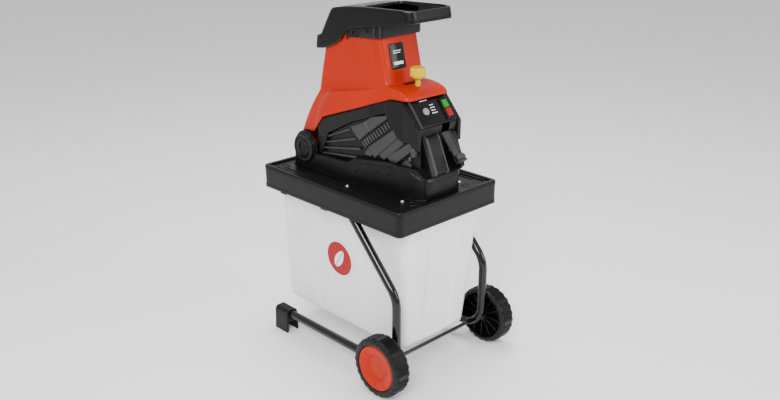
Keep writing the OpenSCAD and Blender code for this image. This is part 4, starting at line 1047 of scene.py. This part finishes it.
def make_panel():
    half = PANEL_LEN / 2
    piece("panel_face", on_panel(pad(60, half - 3, 0.1, 2.1, 6), 0, half), "chassis", "panel_black",
          replaces=["control_panel"])
    ridge = merge(on_panel(pad(2.6, half - 2, 0.1, 5.4, 2.2, 1.6), -58.5, half),
                  on_panel(pad(2, half - 4, 0.1, 3.6, 1.8), 58.5, half))
    piece("panel_ridges", ridge, "chassis", "grey_plastic")
    dial = on_panel(upright(lathe([(2.1, 0), (2.1, 12.6), (3, 12.6), (3.4, 12), (3.4, 10.4), (2.6, 9.8),
                                   (2.6, 0)], 48, closed=False)),
                    RESET_X, RESET_V)
    piece("reset_collar", dial, "chassis", "panel_black")
    marks = []
    for x, v, half in ((-14, 10, 13), (5, 24, 6), (5, 31, 8), (4, 38, 7), (5, 45, 9)):
        marks.append(on_panel(pad(half, 0.9, 2.1, 2.35, 0.5, 0.1), x, v))
    piece("panel_marks", merge(*marks), "chassis", "light_grey_plastic", material=WHITE)
    frame_pad = on_panel(pad(14, 27, 2.2, 6.2, 4, 1.2), SWITCH_X, SWITCH_V)
    hole = merge(on_panel(block((-9, 0.6, 1), (9, 22.6, 9)), SWITCH_X, SWITCH_V),
                 on_panel(block((-9, -22.6, 1), (9, -0.6, 9)), SWITCH_X, SWITCH_V))
    surround = piece("switch_surround", frame_pad, "chassis", "panel_black", replaces=["switch_frame"])
    carve(surround, [hole])
    for name, body, slot, middle in (("start_key", "start", "green_plastic", 11.6),
                                     ("stop_key", "stop", "red_plastic", -11.6)):
        key = on_panel(merge(pad(8.4, 10.4, -9, 8, 1.6, 1.2), pad(1.1, 4, 7.9, 8.4, 1, 0.2)), SWITCH_X,
                       SWITCH_V - middle)
        piece(name, key, body, slot, replaces=["start_button" if middle > 0 else "stop_button"])
    knob = upright(lathe([(-8, 0), (-8, 9), (4.6, 9), (5.6, 8.4), (6, 7), (5.7, 5), (5.5, 0)], 48,
                         closed=False))
    piece("reset_key", on_panel(knob, RESET_X, RESET_V), "reset", "light_grey_plastic",
          replaces=["reset_button"])


LOCK_X = 24
LOCK_LEAN = math.radians(42)
LOCK_TOP = Vector((0, -206, 148))
LOCK_LEN = 84


def make_lock():
    """Sliding bin lock: leaning plate with edge rails, grip lines, a round thumb roll and a turned-out lip."""
    half = 13
    plate = merge(block((-half, -4, -LOCK_LEN), (half, 0, 0)),
                  block((-half, -6.4, -LOCK_LEN + 4), (-half + 3, -4, -2)),
                  block((half - 3, -6.4, -LOCK_LEN + 4), (half, -4, -2)), block((-4, -1, -47), (4, 12, -37)))
    lines = [block((-half + 5, -5, -20 - 5 * i), (half - 5, -3.9, -17.6 - 5 * i)) for i in range(6)]
    roll = lathe([(-half, 0), (-half, 7.6), (-half + 1.4, 9), (half - 1.4, 9), (half, 7.6), (half, 0)], 40,
                 closed=False)
    lip = [(-13, -84), (-11.5, -84), (2, -83.6), (2, -78), (-4, -78), (-9, -79), (-13, -81.5)]
    shape = merge(plate, *lines, moved(roll, shift=(0, -4, -LOCK_LEN + 12)), prism(lip, -half, half))
    turn = Matrix.Rotation(-LOCK_LEAN, 3, "X")
    piece("lock_slide", moved(shape, turn, LOCK_TOP + Vector((LOCK_X, 0, 0))), "bin_lock", "grey_plastic",
          replaces=["bin_lock_slider"], bevel=0.7, smooth=35)


def make_pillars():
    """Nose blocks in front of the base, the left one with a rounded ridge along each edge."""
    front = [(-196, 151), (-206, 151), (-213, 147.5), (-217, 142), (-245.6, 72), (-245.6, 68), (-240, 62),
             (-236, 58),
             (-196, 58)]
    blocks = [prism([(y - 0.4, z) for y, z in front], x0, x1) for x0, x1 in ((-48.4, -1.8), (41.8, 56.4))]
    piece("nose_blocks_painted_highlight", merge(*blocks), "chassis", "black_plastic", bevel=2.2)
    ridge = [(-198, 153.5), (-208, 152), (-216, 147), (-249.4, 71), (-246, 63), (-236, 61)]
    piece("nose_ridges", merge(prism(ridge, -48.8, -41), prism(ridge, -7, -2)), "chassis", "grey_plastic",
          bevel=2.2)


# ---------------------------------------------------------------- camera, light, floor

def make_camera():
    data = bpy.data.cameras.new("camera")
    data.lens = 41.08
    data.sensor_width = 36.0
    data.clip_start, data.clip_end = 0.05, 50
    camera = bpy.data.objects.new("camera", data)
    bpy.context.scene.collection.objects.link(camera)
    camera.location = DECK + Vector((-1.4844, -1.5728, 0.740))
    camera.rotation_euler = (math.radians(69.4), 0, math.radians(-44.2))
    bpy.context.scene.camera = camera


def make_light(name, place, aim, size, power):
    data = bpy.data.lights.new(name, "AREA")
    data.shape = "RECTANGLE"
    data.size, data.size_y = size
    data.energy = power
    light = bpy.data.objects.new(name, data)
    bpy.context.scene.collection.objects.link(light)
    light.location = place
    light.rotation_euler = (Vector(aim) - Vector(place)).to_track_quat("-Z", "Y").to_euler()


def make_stage():
    bm = bmesh.new()
    bmesh.ops.create_grid(bm, x_segments=1, y_segments=1, size=30)
    mesh = bpy.data.meshes.new("floor")
    bm.to_mesh(mesh)
    floor = bpy.data.objects.new("floor", mesh)
    bpy.context.scene.collection.objects.link(floor)
    floor_material = bpy.data.materials.new("floor")
    floor_material.use_nodes = True
    shader = floor_material.node_tree.nodes["Principled BSDF"]
    shader.inputs["Base Color"].default_value = (0.92, 0.92, 0.92, 1)
    shader.inputs["Roughness"].default_value = 0.6
    mesh.materials.append(floor_material)
    world = bpy.data.worlds.new("world")
    bpy.context.scene.world = world
    world.use_nodes = True
    world.node_tree.nodes["Background"].inputs["Color"].default_value = (1, 1, 1, 1)
    world.node_tree.nodes["Background"].inputs["Strength"].default_value = 0.85
    aim = (0, 0, 0.45)
    make_light("key", (-2.2, -1.6, 2.4), aim, (1.3, 1.3), 100)
    make_light("fill", (1.4, -2.8, 1.5), aim, (1.4, 1.4), 40)
    make_light("top", (0.3, 0.5, 3.0), aim, (1.5, 1.5), 75)


make_camera()
dress_cad_nodes()
make_tray()
make_tray_screws()
make_bin()
make_badge()
for wheel_name, cap_name, side in (("tyre_left", "cap_left", -1), ("tyre_right", "cap_right", 1)):
    make_wheel(wheel_name, side)
    make_cap(cap_name, side)
make_foot("foot_shoe_left", "foot_left")
make_foot("foot_shoe_right", "foot_right")
make_hopper()
make_hood()
make_band()
make_plate()
make_knob()
make_shoe()
make_relief("relief_left", "side_grille_left", -1)
make_relief("relief_right", "side_grille_right", 1)
make_hinge()
make_panel()
make_lock()
make_pillars()
make_stage()
